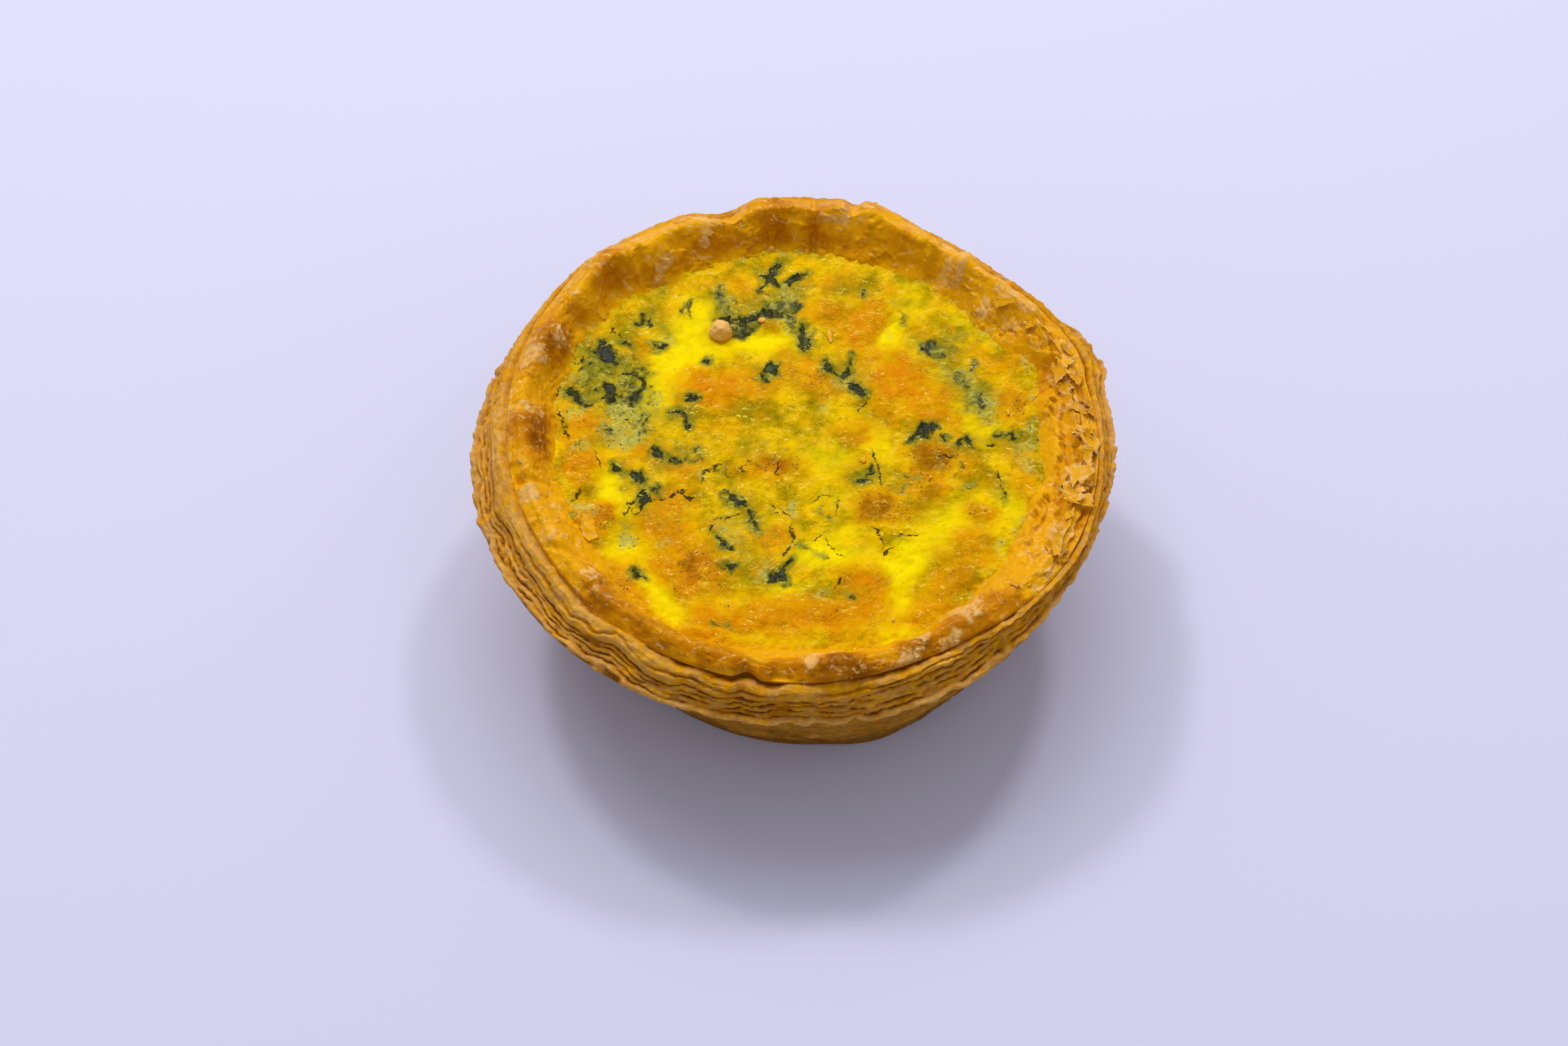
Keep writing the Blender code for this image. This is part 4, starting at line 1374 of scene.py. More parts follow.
BROWNED = patches(
    (-21, 15, 14, 11, 1, -20), (-12.5, 15.5, 13, 9, 0.8), (-8, 33.5, 6, 4, 0.7), (-3, 22, 9, 7, 0.7),
    (-13, 43, 8, 9, 0.6), (-36, 26, 7, 7, 0.5), (-46, 5.5, 10, 8, 0.85), (5, 37, 10, 8, 0.75),
    (16.5, 37.5, 7, 8, 0.85), (12.5, 30, 8, 12), (20.5, 18, 13, 15, 1, 10), (25, 14.5, 8, 7, 0.85),
    (32.5, 14, 7, 4.5, 0.7), (4, 16.5, 10, 9, 0.75), (45, 22.5, 10, 6, 0.65), (46.5, 12, 8, 9, 0.8),
    (29, 8, 12, 7, 0.8), (13, 3.5, 8, 7, 0.75), (-46.5, -6, 9, 10.5, 1, 20), (-41, -19, 7, 8, 0.9),
    (-47, -19, 8, 5, 0.8), (-32, -3, 5.5, 6.5, 0.9), (-28, -22.5, 12, 13, 0.9, 20), (-24.5, -7, 8, 6, 0.7),
    (-26, -14, 10, 6, 0.6), (-21, -32, 13, 11), (-5, -6, 13, 7, 0.9), (-5.5, -24, 9, 8, 0.7),
    (-16, -44, 10, 5, 0.7), (7, -43.5, 25, 9, 0.8, 3), (-8, -44, 12, 6, 0.5, 5), (14, -34, 10, 10, 0.85),
    (35, -25, 15, 7, 0.65, 35), (33, -33, 17, 7, 0.6, 25), (28, -41.5, 14, 6, 0.6, 18),
    (37.5, -16.5, 6, 5, 0.85), (16.5, -16, 11, 9, 0.8), (28, -3, 10, 10, 0.8), (28, -11, 8, 6, 0.7),
    (36, -4, 9, 8, 0.5), (47.5, -9, 6, 8, 0.75), (-36, -34, 9, 8, 0.7, -50), (5, 45, 12, 4, 0.3))

TOASTED = patches(
    (-21, -32, 9, 7.5, 0.5), (-23, -31, 3, 2.6, 0.7), (-5, -5.5, 9, 5, 0.6), (16.5, -16, 8, 6.5, 0.95),
    (28.5, -3, 8, 8, 0.95), (28, -11, 6, 4, 0.6), (-41, -19, 5, 6, 0.55), (47.5, 11.5, 4, 6, 0.5),
    (4, 17, 7, 6, 0.35), (37.5, -16.5, 3.5, 3, 0.45), (33, -33, 11, 4, 0.3, 25), (6, -43, 11, 4, 0.3, 3),
    (-46.5, -7, 5, 6, 0.25, 20), (-37, -36, 6, 6, 0.4, -50), (24, -17, 7, 5, 0.35), (13, 42, 5, 4, 0.3),
    (-45, 5.5, 5, 4, 0.3))

LEAFY = patches(
    (-44, 22, 17, 12, 0.7, -40), (-37, 14, 9, 14, 0.75), (-46, 13, 14, 9, 0.5, -20),
    (-36, 5, 13, 10, 0.45, 20), (-30, 30, 6, 6, 0.4), (-9, 38, 19, 8, 0.6, 15), (-3, 44, 9, 7, 0.4),
    (-17.5, 39, 4.5, 9, 0.6, 10), (-35.5, 34, 8, 6, 0.35), (-22.5, -2, 8, 7, 0.4), (-29, -3.5, 8, 7, 0.4),
    (-33, -12, 9, 11, 0.3), (29.5, 27, 10, 8, 0.6), (35, 18, 9, 8, 0.55, -40), (39, 12, 8, 9, 0.55, -20),
    (10, 19, 11, 8, 0.4, -40), (-7, 20, 6, 7, 0.4), (27, 4, 9, 5, 0.4, 20), (35, 1.5, 9, 6, 0.4),
    (46, 2, 8, 8, 0.35), (-13, -24, 12, 14, 0.3), (-4, -32, 9, 7, 0.25, 40), (13.5, -7, 7, 6, 0.35),
    (9, 44, 8, 10, 0.25), (-36, -22, 4, 7, 0.35, 10), (10.5, -38.5, 6, 4, 0.3), (43, -11, 5, 7, 0.3),
    (22, 41, 8, 5, 0.2, -30), (-12, -14, 10, 6, 0.3), (22, -10, 8, 5, 0.3), (-10, -1, 8, 6, 0.3),
    (36, 30, 7, 6, 0.4, -30), (-29, -20, 8, 6, 0.25))

VEIL = patches(
    (-38, 3, 9, 9, 1, 20), (-38.5, 8.5, 7, 6, 0.9), (-32.5, 11, 6, 5, 0.6), (-49, 8.5, 5, 4, 0.7),
    (-49.5, 17.5, 4, 5, 0.5), (-30.4, 28.6, 4.4, 2.8, 0.9, 60), (-18.2, 43.6, 3, 4.5, 0.6),
    (-17, 39, 2.8, 7.5, 0.9, 20), (-3.6, 33.6, 4, 4, 0.8), (-2.6, 41, 5, 7, 0.7), (31.5, 24, 6, 7, 0.5),
    (35.5, 19, 6, 5, 0.7), (38, 22.3, 1.8, 5, 0.7, -35), (39.6, 12, 6, 7, 0.8), (41, 8, 5, 3, 0.6, -30),
    (10, 17, 7, 3.6, 0.6, 25), (5.3, 9.6, 2.8, 2.8, 0.8), (48.3, -2, 4, 9, 0.7, 10), (50, 4, 3, 7, 0.6),
    (-28, -26, 5, 3.4, 0.6), (-36, -24.4, 4.8, 4, 0.9, -20), (-44.2, -18, 4.5, 2.8, 0.7, -30),
    (-47.2, -1.2, 4.5, 2.8, 0.8, 10), (-7.5, -32.5, 3, 5, 0.7, -30), (-1.6, -16.6, 2.6, 4, 0.8, 40),
    (-14, -22, 9, 7, 0.45, 30), (-13, -28, 5, 3, 0.5), (4.4, -38, 3, 2.6, 0.6), (-21.3, -7.6, 2.2, 3, 0.6),
    (-48, -17, 8, 2, 0.6, -8), (19.8, 31, 2.4, 2.2, 0.6), (42.2, -25, 2.2, 4, 0.5, -20),
    (22, -11.5, 3, 2.2, 0.5, 30), (30, -4, 4, 3, 0.4))


# Each row is a stroke's width, and then the east and north of each point of its line.
STROKES = {
    Kind.LEAF: (
        (3.4, -46.2, 24.6, -43.6, 24.2, -40.6, 21.6), (1.8, -44.6, 28.2, -43.6, 25),
        (1.3, -40.2, 27.4, -37.6, 26.4), (1.5, -33, 27.6, -31.2, 26.6, -29.8, 27.8),
        (1.4, -50.8, 14.8, -49, 12, -46.6, 10.6, -43.2, 12.2), (2, -43.6, 16.4, -41.7, 14.2, -41.3, 11),
        (1.1, -39, 18.8, -36, 18.4, -34.4, 16.4, -35.2, 13), (1.7, -36.4, 13.6, -36.6, 10.4),
        (1.3, -39, 16.6, -37.8, 15.2), (2.2, -34.6, 33.8, -33.8, 33.6),
        (1, -36.6, 33, -35.2, 34, -35.4, 35.8),
        (1.8, -16.6, 34.4, -12.6, 34.8, -9.6, 36.6, -6, 36.4, -3.6, 37.2), (1.4, -19.4, 34.4, -16, 34.6),
        (1.5, -5.2, 52, -6, 49.2, -7.4, 46.6), (1.5, -9.6, 47.8, -7.2, 46.8, -5, 43.8),
        (0.9, -7.4, 46, -9, 43), (1.7, -3.6, 46.2, -1.8, 46.8, 1, 48.2), (0.8, -2.6, 45.4, -1.2, 43),
        (3, 0.4, 33.6, 0.6, 30, 1.4, 26.8), (2.6, -7, 22.2, -6, 20.4), (1.8, -8.6, 19.6, -7.4, 18),
        (1.6, -21, 23.8, -20.6, 22.2), (1.3, -25, 13, -23, 12.2), (1.3, -28.2, 8.6, -25.6, 8.2, -25, 6.4),
        (1.5, -25.2, 5.6, -24.2, 4.6), (2.1, -41.7, 3.9, -41.5, 2.9), (1.1, 5.2, 22.8, 6, 19.8, 8.4, 18.2),
        (1.2, 8.4, 18.2, 10.2, 19.6, 11.4, 23.4), (2.2, 9, 19.2, 10.2, 18.6),
        (1.9, 11.2, 16.4, 12.6, 15, 13.8, 14), (1.2, 27, 27.4, 27.6, 26.2), (1, 13.6, 43.2, 13.9, 42.8),
        (2.5, 24.6, 3, 26.6, 4.2, 29.4, 5.2), (1.4, 23.4, 1.6, 24.8, 2.4), (1.2, 31.2, 3.2, 31.6, 1.6),
        (1.7, 33.4, 1, 35, 0.6), (1.5, 36.4, 3, 36.8, 1.2), (0.9, 42.6, 3.6, 45, 4.2, 47.6, 4.9),
        (0.9, 46.6, 4, 45.8, 2.2), (0.8, 40.2, 1.4, 42, 0.8), (2, -30.8, -0.8, -30.6, -2.6, -30, -4.2),
        (1.2, -28.2, -2.6, -26.4, -4.4), (2.3, -22.9, -1.4, -22.3, -2), (1.4, -40, -5, -38.2, -7),
        (2, -35.8, -7.6, -34.4, -8.8, -33.4, -10.4), (1.8, -33.4, -12, -33.2, -14.2, -33.6, -16),
        (1, -31.8, -12.4, -30.4, -11.2, -30, -13.8), (1.6, -15.8, -12.4, -14, -14.2, -12, -15.6),
        (1.6, -10.9, -16.6, -9.6, -18.8, -9, -22), (1, -17, -23.8, -15.4, -24.8, -15, -26.4),
        (1.7, -15.8, -26, -14.6, -27.4), (1.5, -15.6, -30.7, -13, -30.5),
        (3, -5.8, -34.4, -4, -33.2, -3.2, -31.8), (0.9, -3.2, -31.8, -2.4, -30, -1.7, -28.6),
        (0.9, -34.6, -32, -33.4, -33, -32.2, -34.6), (1, -49.4, -20.8, -48.4, -20.2),
        (0.5, -25.3, -36.9, -25.1, -37.1), (0.5, -17.1, -36, -16.7, -36.4),
        (0.5, -14.8, -40.6, -14.6, -41.4), (1.4, 15.2, -5, 14.4, -7), (2.2, 14, -7.4, 12.6, -8.8),
        (0.8, 9, -33.8, 8.8, -35.2, 7.8, -36.8), (1.2, 10.6, -37.8, 11.2, -38.3),
        (0.5, 10.1, -39.8, 10.4, -40.2), (1.1, 43.6, -12.2, 43.9, -13), (0.5, 42.8, -22.8, 43, -23.1)),
    Kind.VEILED: (
        (2.6, -43, 22.8, -41.2, 21.8), (1.6, -49.8, 14, -47.4, 11.4), (3.4, -36.2, 14.6, -37.2, 11),
        (4.6, -16.4, 33, -12.6, 32.6, -9.6, 36.2, -5, 38, -1.8, 38.4), (2.4, -2.6, 35, -1.6, 32.4),
        (2.6, -18.6, 42.6, -17.8, 40, -16.6, 37.2), (1.3, -25.2, 39.8, -26, 37.6, -25.2, 36),
        (1.2, -34.6, 3.4, -32.4, 3.4), (4.8, 28.2, 27, 30.4, 25.8), (2.4, 34.4, 19, 36, 17.4),
        (1.5, 37.2, 22, 38.8, 23), (2.6, 38.8, 14.2, 39.8, 11.6),
        (1.2, -24.6, -3.6, -22.4, -4.8, -20.8, -3.4), (1, 21, -11.8, 23.4, -10.4),
        (1.1, 34.3, -4.6, 34.2, -5.6), (0.9, 35.4, -9.6, 37, -9.8)),
    Kind.GREEN: (
        (4, -46.6, 20.6, -45.8, 18.6), (1.2, 23.2, 36.6, 22.6, 34.2),
        (0.9, -17.6, -44.8, -15.6, -45.3, -13.4, -45.9), (0.9, 23, -8, 25.2, -7.6),
        (1, 0.2, -25.2, 2.8, -26.6, 5.4, -28.2), (0.8, 3.6, -16.6, 6.6, -19.2)),
    Kind.CRACK: (
        (0.6, -42, 31.2, -40.6, 29.6), (0.6, -1.6, -20.8, -1.7, -25, -3, -27.8),
        (0.5, 30.2, -3.2, 32.6, -2.6), (0.7, -34.4, -17.8, -31.7, -15.8, -29.2, -14.8, -26.7, -14),
        (0.9, -25.4, -13.7, -23.2, -14.1), (0.5, -36.6, -18, -36.2, -16.4, -35.2, -15.8),
        (0.6, -20.8, -9.6, -20.4, -7.5, -18.8, -6.7, -17, -5),
        (0.6, -15.8, -6.5, -14.6, -8, -13.2, -6.6, -11.2, -5), (0.6, -4.6, -5.2, -4.7, -7.8),
        (0.4, 2.4, -24, 5, -23.2, 6.5, -25.8, 8.6, -27.8), (0.35, 3.2, -14.4, 5, -13, 8, -13.4, 7.8, -17),
        (0.4, 19.6, -25.4, 18.2, -26.2, 17.9, -27.6), (0.4, 15.8, -21.4, 16.8, -22.4, 17.4, -24),
        (0.35, 20.6, -22.8, 22.6, -22.6, 24.6, -22.2), (0.4, 15.8, -2, 16.8, -5.2, 17.4, -9.6),
        (0.5, -5.9, -15.6, -5.3, -17), (0.35, -4.2, -16.4, -2.4, -17.8),
        (0.4, -17, -19.2, -15, -18.5, -13.2, -17.8), (0.4, 14.9, 12.4, 13.6, 10.8, 12.8, 9.4),
        (1.1, -53.6, 14, -54.2, 12.4, -54.3, 11), (0.5, -53.2, 19.2, -53.3, 18.2),
        (0.6, -49.2, 22.2, -48.4, 21.6), (0.5, -52.7, 8.4, -52.1, 6, -51, 3.8, -50.2, 1.6),
        (0.5, -46.8, -13, -48, -15.2), (0.4, -43.8, -3.4, -42.8, -6.4), (0.4, -18.8, -21.6, -19, -23.2),
        (0.4, 42.6, -6.6, 43, -9.6, 43.6, -11.8)),
}


@dataclass
class Custard:
    """The baked filling: a puffed, browned top over a plug that fills the case."""

    rim: Rim
    grain: Grain
    cells: int = 300
    overlap: float = 2.6
    crust_width: float = 2.4
    strokes: tuple[Stroke, ...] = tuple(
        Stroke(kind, width, tuple(zip(line[0::2], line[1::2])))
        for kind, rows in STROKES.items() for width, *line in rows)

    def height(self, places: Array) -> Array:
        """Return the height of the custard's top at places east and north."""
        flat = places * (1.0, 1.0, 0.0)
        height = self.rim.fill - 0.6 + 0.8 * cover_all(PUFFS, flat, 0.9, add=True)
        height += 0.7 * cover_all(BROWNED, flat, 0.9) + 0.4 * self.grain.rough(flat, 9.0, 2)
        height += 0.4 * self.grain.rough(flat + 40.0, 3.2, 4, 0.55)
        height += 0.16 * (0.5 - np.abs(self.grain.rough(flat + 55.0, 1.8, 2)))
        creep = 0.2 + 0.7 * self.grain.rough(flat + 260.0, 2.6, 4, 0.62)
        return height + creep * ramp(self.crust_width + 1.0, 0.0, self.inward(flat))

    def of(self, *kinds: Kind) -> list[Stroke]:
        """Return the strokes of some kinds."""
        return [stroke for stroke in self.strokes if stroke.kind in kinds]

    def inward(self, places: Array) -> Array:
        """Return how far places are in from the pastry."""
        azimuth = np.degrees(np.arctan2(places[:, 1], places[:, 0])) % 360.0
        return self.rim.mouth(azimuth) - np.hypot(places[:, 0], places[:, 1])

    def build(self, finish: Finish) -> Piece:
        """Model the top from a fine grid drawn out to the case, and close it below.

        Args:
            finish: the custard's material.

        Returns:
            The finished piece.
        """
        piece, places = self.disc("custard_top", self.cells)
        top = len(places)
        crack = self.cracks(places)
        leaf = ramp(-0.3, 0.5, self.leaf_depth(places))
        places[:, 2] = self.height(places) - 0.35 * crack - 0.25 * leaf
        Make.move(piece, places)
        self.close_below(piece)
        Make.paint(piece, self.masks(Make.places(piece), top))
        Make.dress(piece, finish, "baked_egg_custard", "custard_filling")
        return piece

    def disc(self, name: str, cells: int) -> tuple[Piece, Array]:
        """Add a fine square grid, drawn out to the round of the case's mouth.

        Args:
            name: the piece's name.
            cells: how many cells it has each way.

        Returns:
            The piece, and its places at height 0.
        """
        Make.deselect()
        bpy.ops.mesh.primitive_grid_add(x_subdivisions=cells, y_subdivisions=cells, size=2.0 * MM)
        piece = Make.adopt(name)
        square = Make.places(piece)
        east, north = square[:, 0], square[:, 1]
        wide = np.abs(east) > np.abs(north)
        reach = np.where(wide, np.abs(east), np.abs(north))
        with np.errstate(divide="ignore", invalid="ignore"):
            turn = np.where(wide, 45.0 * north / east, 90.0 - 45.0 * east / north)
        turn = np.where(reach == 0.0, 0.0, turn)
        turn = np.where((wide & (east < 0)) | (~wide & (north < 0)), turn + 180.0, turn)
        radius = reach * (self.rim.mouth(turn) + self.overlap)
        return piece, circle_place(radius, turn, np.zeros_like(radius))

    def close_below(self, piece: Piece) -> None:
        """Extrude the border down to the case's floor and close it."""
        rim = self.rim
        Make.edit(piece, "EDGE", "DESELECT")
        bpy.ops.mesh.select_non_manifold()
        shrink = (rim.base_radius - rim.wall_thickness - 0.6) / (rim.fill + 10.0)
        for drop, scale in ((-4.0, 0.985), (rim.floor + 4.3 - rim.fill, shrink / 0.985)):
            bpy.ops.mesh.extrude_region_move(TRANSFORM_OT_translate={"value": (0, 0, drop * MM)})
            bpy.ops.transform.resize(value=(scale, scale, 1.0), center_override=(0, 0, 0))
        bpy.ops.mesh.edge_face_add()
        bpy.ops.object.mode_set(mode="OBJECT")
        Make.seal(piece)

    def cracks(self, places: Array) -> Array:
        """Return how deep each place is in a crack, from 0 to 1."""
        wandering = self.grain.push(places, 1.3, 2.4, 4, 0.6, 500.0, 600.0)
        broken = ramp(-0.45, 0.0, self.grain.rough(places + 800.0, 2.2, 3))
        depth = np.zeros(len(places))
        for stroke in self.of(Kind.CRACK):
            gap = stroke.measure(wandering)[0]
            depth = np.maximum(depth, ramp(0.4 * stroke.width + 0.3, 0.02, gap))
        return depth * broken

    def splits(self, places: Array) -> tuple[Array, Array]:
        """Return the signed distance and the distance to the nearest thin crack's middle."""
        signed, near = np.full(len(places), 9.0), np.full(len(places), 9.0)
        for stroke in self.of(Kind.CRACK):
            gap, side, _ = stroke.measure(places)
            closer = gap < near
            signed[closer], near[closer] = side[closer] * 0.45 / stroke.width, gap[closer]
        return signed, near

    def leaf_depth(self, places: Array, least: float = 0.0) -> Array:
        """Return how far places lie inside the outline of a leaf at least so wide, negative outside."""
        flat = places * (1.0, 1.0, 0.0)
        bent = self.grain.push(flat, 1.1, 3.6, 3, 0.5, 430.0, 470.0)
        ragged = self.grain.rough(flat + 130.0, 2.8, 3)
        depth = np.full(len(flat), -9.0)
        for stroke in self.of(Kind.LEAF):
            if stroke.width >= least:
                gap, _, share = stroke.measure(bent)
                half = 0.5 * stroke.width * (0.95 - 0.75 * (2.0 * share - 1.0) ** 2)
                depth = np.maximum(depth, half - gap + ragged * min(1.0, 0.12 + 0.36 * stroke.width))
        return depth

    def masks(self, places: Array, top: int) -> dict[str, Array]:
        """Return the masks that the custard's finish reads.

        Args:
            places: every vertex of the piece.
            top: how many of them, from the first, belong to the top.

        Returns:
            The masks by name.
        """
        flat = places * (1.0, 1.0, 0.0)
        grain = self.grain
        coarse = grain.push(flat, 2.6, 6.0, 4, 0.6, 200.0, 400.0)
        fine = grain.push(flat, 1.6, 2.4, 4, 0.6, 333.0, 666.0)
        mottle = grain.rough(flat + 60.0, 3.0, 4, 0.62)
        amber = 0.16 + 0.9 * grain.rough(flat + 700.0, 7.0, 4, 0.55)
        bright = cover_all(BRIGHT, coarse, 1.0)
        browned = 0.85 * cover_all(BROWNED, coarse, 1.0) * (1.0 + 0.5 * mottle)
        toasted = cover_all(TOASTED, fine, 0.8) * (1.0 + 0.6 * mottle)
        green = cover_all(LEAFY, fine, 0.9)
        leafy = 1.35 * green * (0.9 + 1.0 * mottle)
        shreds = ramp(0.3, 0.55, grain.rough(flat + 610.0, 1.9, 4, 0.6)) * ramp(0.25, 0.6, green)
        bright = bright * (1.0 - 0.7 * np.minimum(browned, 1.0)) * (1.0 + 0.3 * mottle)
        inward = self.inward(flat)
        azimuth = np.degrees(np.arctan2(flat[:, 1], flat[:, 0])) % 360.0
        front = self.rim.wet_mark.swell(azimuth)
        crust = ramp(self.crust_width, 0.3, inward + 0.8 * mottle) * (1.0 - front)
        bright = np.maximum(bright, 0.2 * crust * (0.8 + mottle))
        browned = np.maximum(browned, 0.4 * front * ramp(3.5, 0.0, inward + 1.5 * mottle))
        amber = amber + 0.8 * front * ramp(16.0, 7.0, inward)
        depth = self.leaf_depth(flat)
        leafy = np.maximum(leafy, 0.95 * ramp(-2.2, 0.0, self.leaf_depth(flat, 0.9) + 0.9 * mottle))
        veil = cover_all(VEIL, fine, 0.8) * (1.0 + 0.7 * mottle) + 0.7 * crust * ramp(-0.1, 0.4, mottle)
        slate = np.zeros(len(flat))
        for stroke in self.of(Kind.VEILED, Kind.GREEN):
            half = stroke.width / 2.0
            cover = ramp(half + 1.0, half - 0.9, stroke.measure(fine)[0] + 0.7 * mottle)
            leafy = np.maximum(leafy, 1.1 * cover)
            if stroke.kind is Kind.VEILED:
                slate = np.maximum(slate, 0.9 * cover * (0.8 + 0.8 * mottle))
        dark = np.maximum(0.35 * ramp(-1.2, 0.3, depth), 0.75 * shreds)
        signed, near = self.splits(flat)
        below = np.arange(len(flat)) >= top
        for mask in (dark, leafy, toasted, veil, slate):
            mask[below] = 0.0
        depth[below], near[below] = -9.0, 9.0
        return {"amber": amber, "bright": bright, "browned": browned, "toasted": toasted, "leafy": leafy,
                "veil": veil, "slate": slate, "dark": dark, "leaf": np.maximum(depth, -4.0),
                "split": signed, "near_split": near}


@dataclass
class Spinach:
    """The dark scraps of leaf that lie half sunk in the custard, cut from one thin wrinkled sheet."""

    custard: Custard
    grain: Grain
    cells: int = 440
    least_depth: float = 0.45
    thickness: float = 0.2
    proud: float = 0.14

    def build(self, finish: Finish) -> Piece:
        """Lay a fine sheet over the custard, cut it down to the leaves and give it thickness.

        Args:
            finish: the leaf's material.

        Returns:
            The finished piece.
        """
        piece, places = self.custard.disc("spinach_scraps", self.cells)
        depth = self.custard.leaf_depth(places)
        wrinkle = 0.34 * self.grain.rough(places, 1.3, 4, 0.6)
        shown = ramp(0.35, 0.8, depth)
        places[:, 2] = self.custard.height(places) - 0.3 + shown * (self.proud + wrinkle)
        Make.move(piece, places)
        Make.paint(piece, {"inside": depth})
        corners = Make.read(piece.data.polygons, "vertices", 4).reshape(-1, 4)
        Make.pick(piece, "FACE", depth[corners].max(axis=1) < self.least_depth)
        bpy.ops.mesh.delete(type="FACE")
        bpy.ops.object.mode_set(mode="OBJECT")
        Make.thicken(piece, self.thickness, -1.0)
        Make.dress(piece, finish, "baked_egg_custard", "custard_filling")
        return piece


@dataclass
class Crumb:
    """The round pastry crumb that baked onto the custard."""

    custard: Custard
    grain: Grain
    east: float = -18.0
    north: float = 31.0
    radius: float = 2.5
    lift: float = 0.9

    def build(self, finish: Finish) -> Piece:
        """Model the crumb from a ball with a rough skin."""
        Make.deselect()
        bpy.ops.mesh.primitive_ico_sphere_add(subdivisions=5, radius=self.radius * MM)
        piece = Make.adopt("baked_crumb")
        places = Make.places(piece)
        swell = 1.0 + 0.16 * self.grain.rough(places, 2.2, 4, 0.5)
        places *= swell[:, None]
        places += (self.east, self.north, 0.0)
        places[:, 2] += self.custard.height(np.array([[self.east, self.north, 0.0]]))[0] + self.lift
        Make.move(piece, places)
        # The crumb's top is painted paler, a painted highlight where the light falls.
        Make.paint(piece, {"bake": 0.3 * self.grain.rough(places, 2.0, 3) - 0.4,
                           "pale": 0.55 + 0.4 * ramp(43.0, 46.0, places[:, 2])})
        Make.dress(piece, finish, "baked_puff_pastry", "custard_filling")
        return piece


@dataclass
class LooseFlake:
    """The pale flake of pastry that lies on the custard beside the crust."""

    custard: Custard
    grain: Grain
    left: tuple[tuple[float, float], ...] = ((-45.7, -19.0), (-46.0, -21.6), (-45.6, -23.8), (-44.2, -25.8))
    right: tuple[tuple[float, float], ...] = ((-45.3, -19.2), (-43.2, -20.6), (-42.9, -22.4), (-42.1, -24.9))
    thickness: float = 0.08

    def build(self, finish: Finish) -> Piece:
        """Model the flake from a grid drawn out between its two long edges."""
        Make.deselect()
        bpy.ops.mesh.primitive_grid_add(x_subdivisions=24, y_subdivisions=14, size=2.0 * MM)
        piece = Make.adopt("loose_flake")
        blank = Make.places(piece)
        down, over = 0.5 + 0.5 * blank[:, 0], 0.5 + 0.5 * blank[:, 1]
        knots = np.linspace(0.0, 1.0, len(self.left))
        edges = [np.column_stack([np.interp(down, knots, np.array(edge)[:, axis]) for axis in (0, 1)])
                 for edge in (self.left, self.right)]
        places = np.column_stack([edges[0] + over[:, None] * (edges[1] - edges[0]), np.zeros(len(blank))])
        places = self.grain.push(places, 0.3, 1.4, 3, 0.5, 5.0, 60.0)
        curl = 0.14 * (2.0 * over - 1.0) ** 2 + 0.1 * self.grain.rough(places, 1.8, 3)
        places[:, 2] = self.custard.height(places) + 0.12 + curl
        Make.move(piece, places)
        Make.thicken(piece, self.thickness)
        mottle = self.grain.rough(Make.places(piece) + 30.0, 2.0, 3)
        Make.paint(piece, {"bake": -0.3, "pale": 0.3 + 0.3 * mottle})
        Make.dress(piece, finish, "baked_puff_pastry", "custard_filling")
        return piece


@dataclass
class TinyCrumbs:
    """The few crumbs of pastry scattered on the custard."""

    custard: Custard
    grain: Grain
    spots: tuple[Patch, ...] = patches(
        (3.2, 1.1, 1.3, 0.9, 1, 60), (13.5, -3.7, 1.4, 1, 1, -30), (6.4, 29.6, 3.2, 1.1, 1, 95),
        (-8.8, 34.4, 1.8, 1.4, 1, 20), (45.2, 9.2, 1.5, 0.7, 1, 100), (27.9, -8.2, 1, 0.6, 1, 90),
        (-49.2, -35.2, 1.2, 0.8, 1, 40), (19.4, -43.2, 1.2, 0.8, 1, 80))

    def build(self, finish: Finish) -> Piece:
        """Model a small ball, copy it, give each crumb its own shape and join them."""
        Make.deselect()
        bpy.ops.mesh.primitive_ico_sphere_add(subdivisions=3, radius=1.0 * MM)
        first = Make.adopt("crumb")
        ball = Make.places(first)
        crumbs = Make.copies(first, len(self.spots))
        for index, (crumb, spot) in enumerate(zip(crumbs, self.spots)):
            lump = ball * (1.0 + 0.35 * self.grain.rough(ball + 9.0 * index, 1.1, 3, 0.6))[:, None]
            lump *= (spot.length / 2.0, spot.width / 2.0, 0.24 * spot.width)
            spin = np.array(Matrix.Rotation(math.radians(spot.heading), 3, "Z"))
            base = np.array([[spot.east, spot.north, 0.0]])
            Make.move(crumb, lump @ spin.T + base + (0.0, 0.0, self.custard.height(base)[0] + 0.15))
        piece = Make.join(crumbs, "tiny_crumbs")
        Make.paint(piece, {"bake": -0.2, "pale": 0.5})
        Make.dress(piece, finish, "baked_puff_pastry", "custard_filling")
        return piece


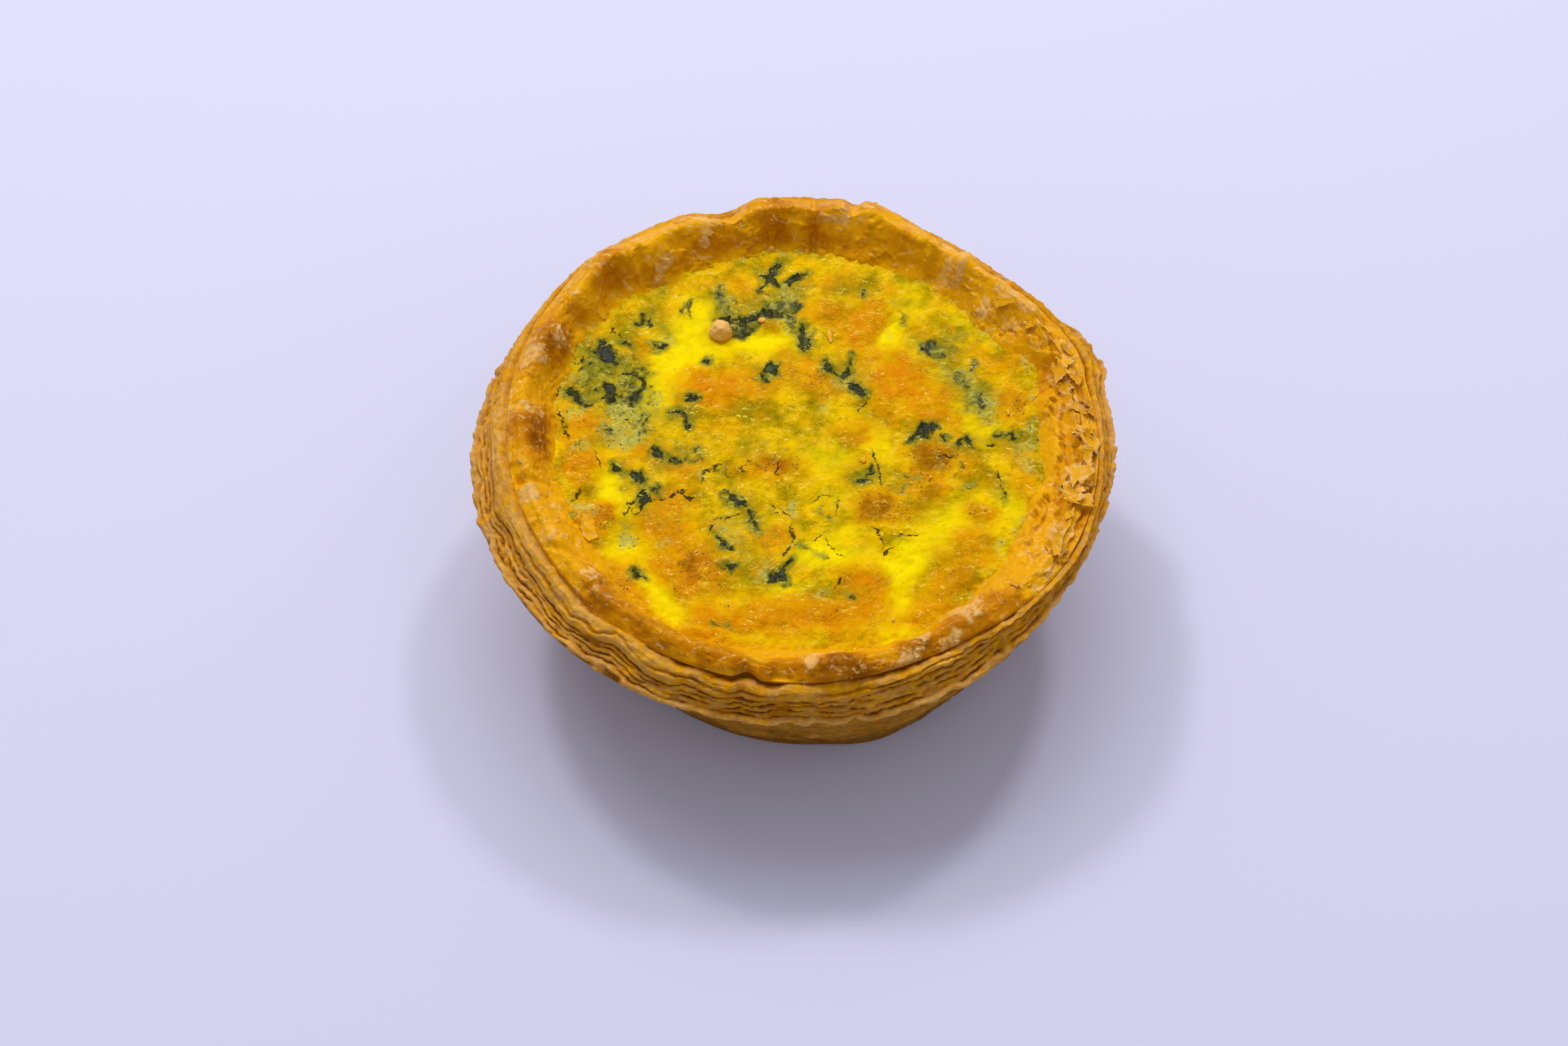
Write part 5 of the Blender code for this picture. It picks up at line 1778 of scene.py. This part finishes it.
@dataclass(frozen=True)
class Studio:
    """The plain floor, the soft light and the camera."""

    focal: float = 50.0
    sensor: float = 36.0
    camera_place: tuple[float, float, float] = (-3.2337, -273.1266, 425.5762)
    camera_target: tuple[float, float, float] = (-3.2337, -1.288, 14.5)
    camera_roll: float = 0.8255
    floor_colour: Colour = tone(208, 207, 232)
    floor_size: float = 3000.0
    sky_colour: Colour = (0.93, 0.94, 1.0, 1.0)
    sky_strength: float = 0.465
    lamps: tuple[tuple, ...] = (
        ("key", (-0.25, 0.75, 1.35), (1.2, 0.8), 9.7), ("spark_left", (-0.45, 0.7, 1.1), (0.16, 0.16), 4.0),
        ("spark_right", (0.35, 0.75, 1.1), (0.16, 0.16), 4.0), ("fill", (0.9, -0.4, 1.2), (1.2, 1.2), 1.0))

    def camera(self) -> None:
        """Create the camera at the photograph's viewing angle."""
        data = bpy.data.cameras.new("camera")
        data.lens = self.focal
        data.sensor_width = self.sensor
        data.clip_start = 0.01
        camera = bpy.data.objects.new("camera", data)
        bpy.context.scene.collection.objects.link(camera)
        place = Vector(self.camera_place) * MM
        aim = (Vector(self.camera_target) * MM - place).to_track_quat("-Z", "Y").to_matrix().to_4x4()
        roll = Matrix.Rotation(math.radians(self.camera_roll), 4, "Z")
        camera.matrix_world = Matrix.Translation(place) @ aim @ roll
        bpy.context.scene.camera = camera

    def floor(self) -> None:
        """Lay the floor."""
        Make.deselect()
        bpy.ops.mesh.primitive_plane_add(size=self.floor_size * MM)
        floor = Make.adopt("floor")
        nodes = Nodes("floor")
        floor.data.materials.append(nodes.surface(self.floor_colour, 0.7, Gloss(0.1, (1.0, 1.0, 1.0, 1.0))))

    def lights(self) -> None:
        """Hang the soft lights and set the world's even light."""
        world = bpy.data.worlds.new("world")
        world.use_nodes = True
        sky = world.node_tree.nodes["Background"]
        sky.inputs["Color"].default_value = self.sky_colour
        sky.inputs["Strength"].default_value = self.sky_strength
        bpy.context.scene.world = world
        for lamp in self.lamps:
            self.lamp(*lamp)

    @staticmethod
    def lamp(name: str, place: tuple[float, float, float], size: tuple[float, float], power: float) -> None:
        """Hang an oblong soft light that faces the quiche."""
        data = bpy.data.lights.new(name, "AREA")
        data.shape = "RECTANGLE"
        data.size, data.size_y = size
        data.energy = power
        lamp = bpy.data.objects.new(name, data)
        bpy.context.scene.collection.objects.link(lamp)
        aim = (Vector((0, 0, 0.03)) - Vector(place)).to_track_quat("-Z", "Y").to_matrix().to_4x4()
        lamp.matrix_world = Matrix.Translation(Vector(place)) @ aim


def main() -> None:
    """Load the frame, build every piece round it and report them."""
    logging.basicConfig(level=logging.INFO, format="%(relativeCreated)6.0f ms  %(message)s")
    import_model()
    Make.deselect()
    bpy.context.scene.view_settings.view_transform = "Standard"
    studio = Studio()
    studio.camera()
    studio.lights()
    studio.floor()
    rim = Rim()
    pastry = PastryFinish().material()
    CaseWall(rim, Grain(11)).build(pastry)
    skin = TopSkin(rim, Grain(11))
    skin.build(pastry)
    Layers(rim, Grain(23)).build(pastry)
    TornFlakes(skin).build(pastry)
    custard = Custard(rim, Grain(37))
    custard.build(CustardFinish().material())
    Spinach(custard, Grain(41)).build(LeafFinish().material())
    Crumb(custard, Grain(53)).build(pastry)
    LooseFlake(custard, Grain(59)).build(pastry)
    TinyCrumbs(custard, Grain(61)).build(pastry)


if __name__ == "__main__":
    main()
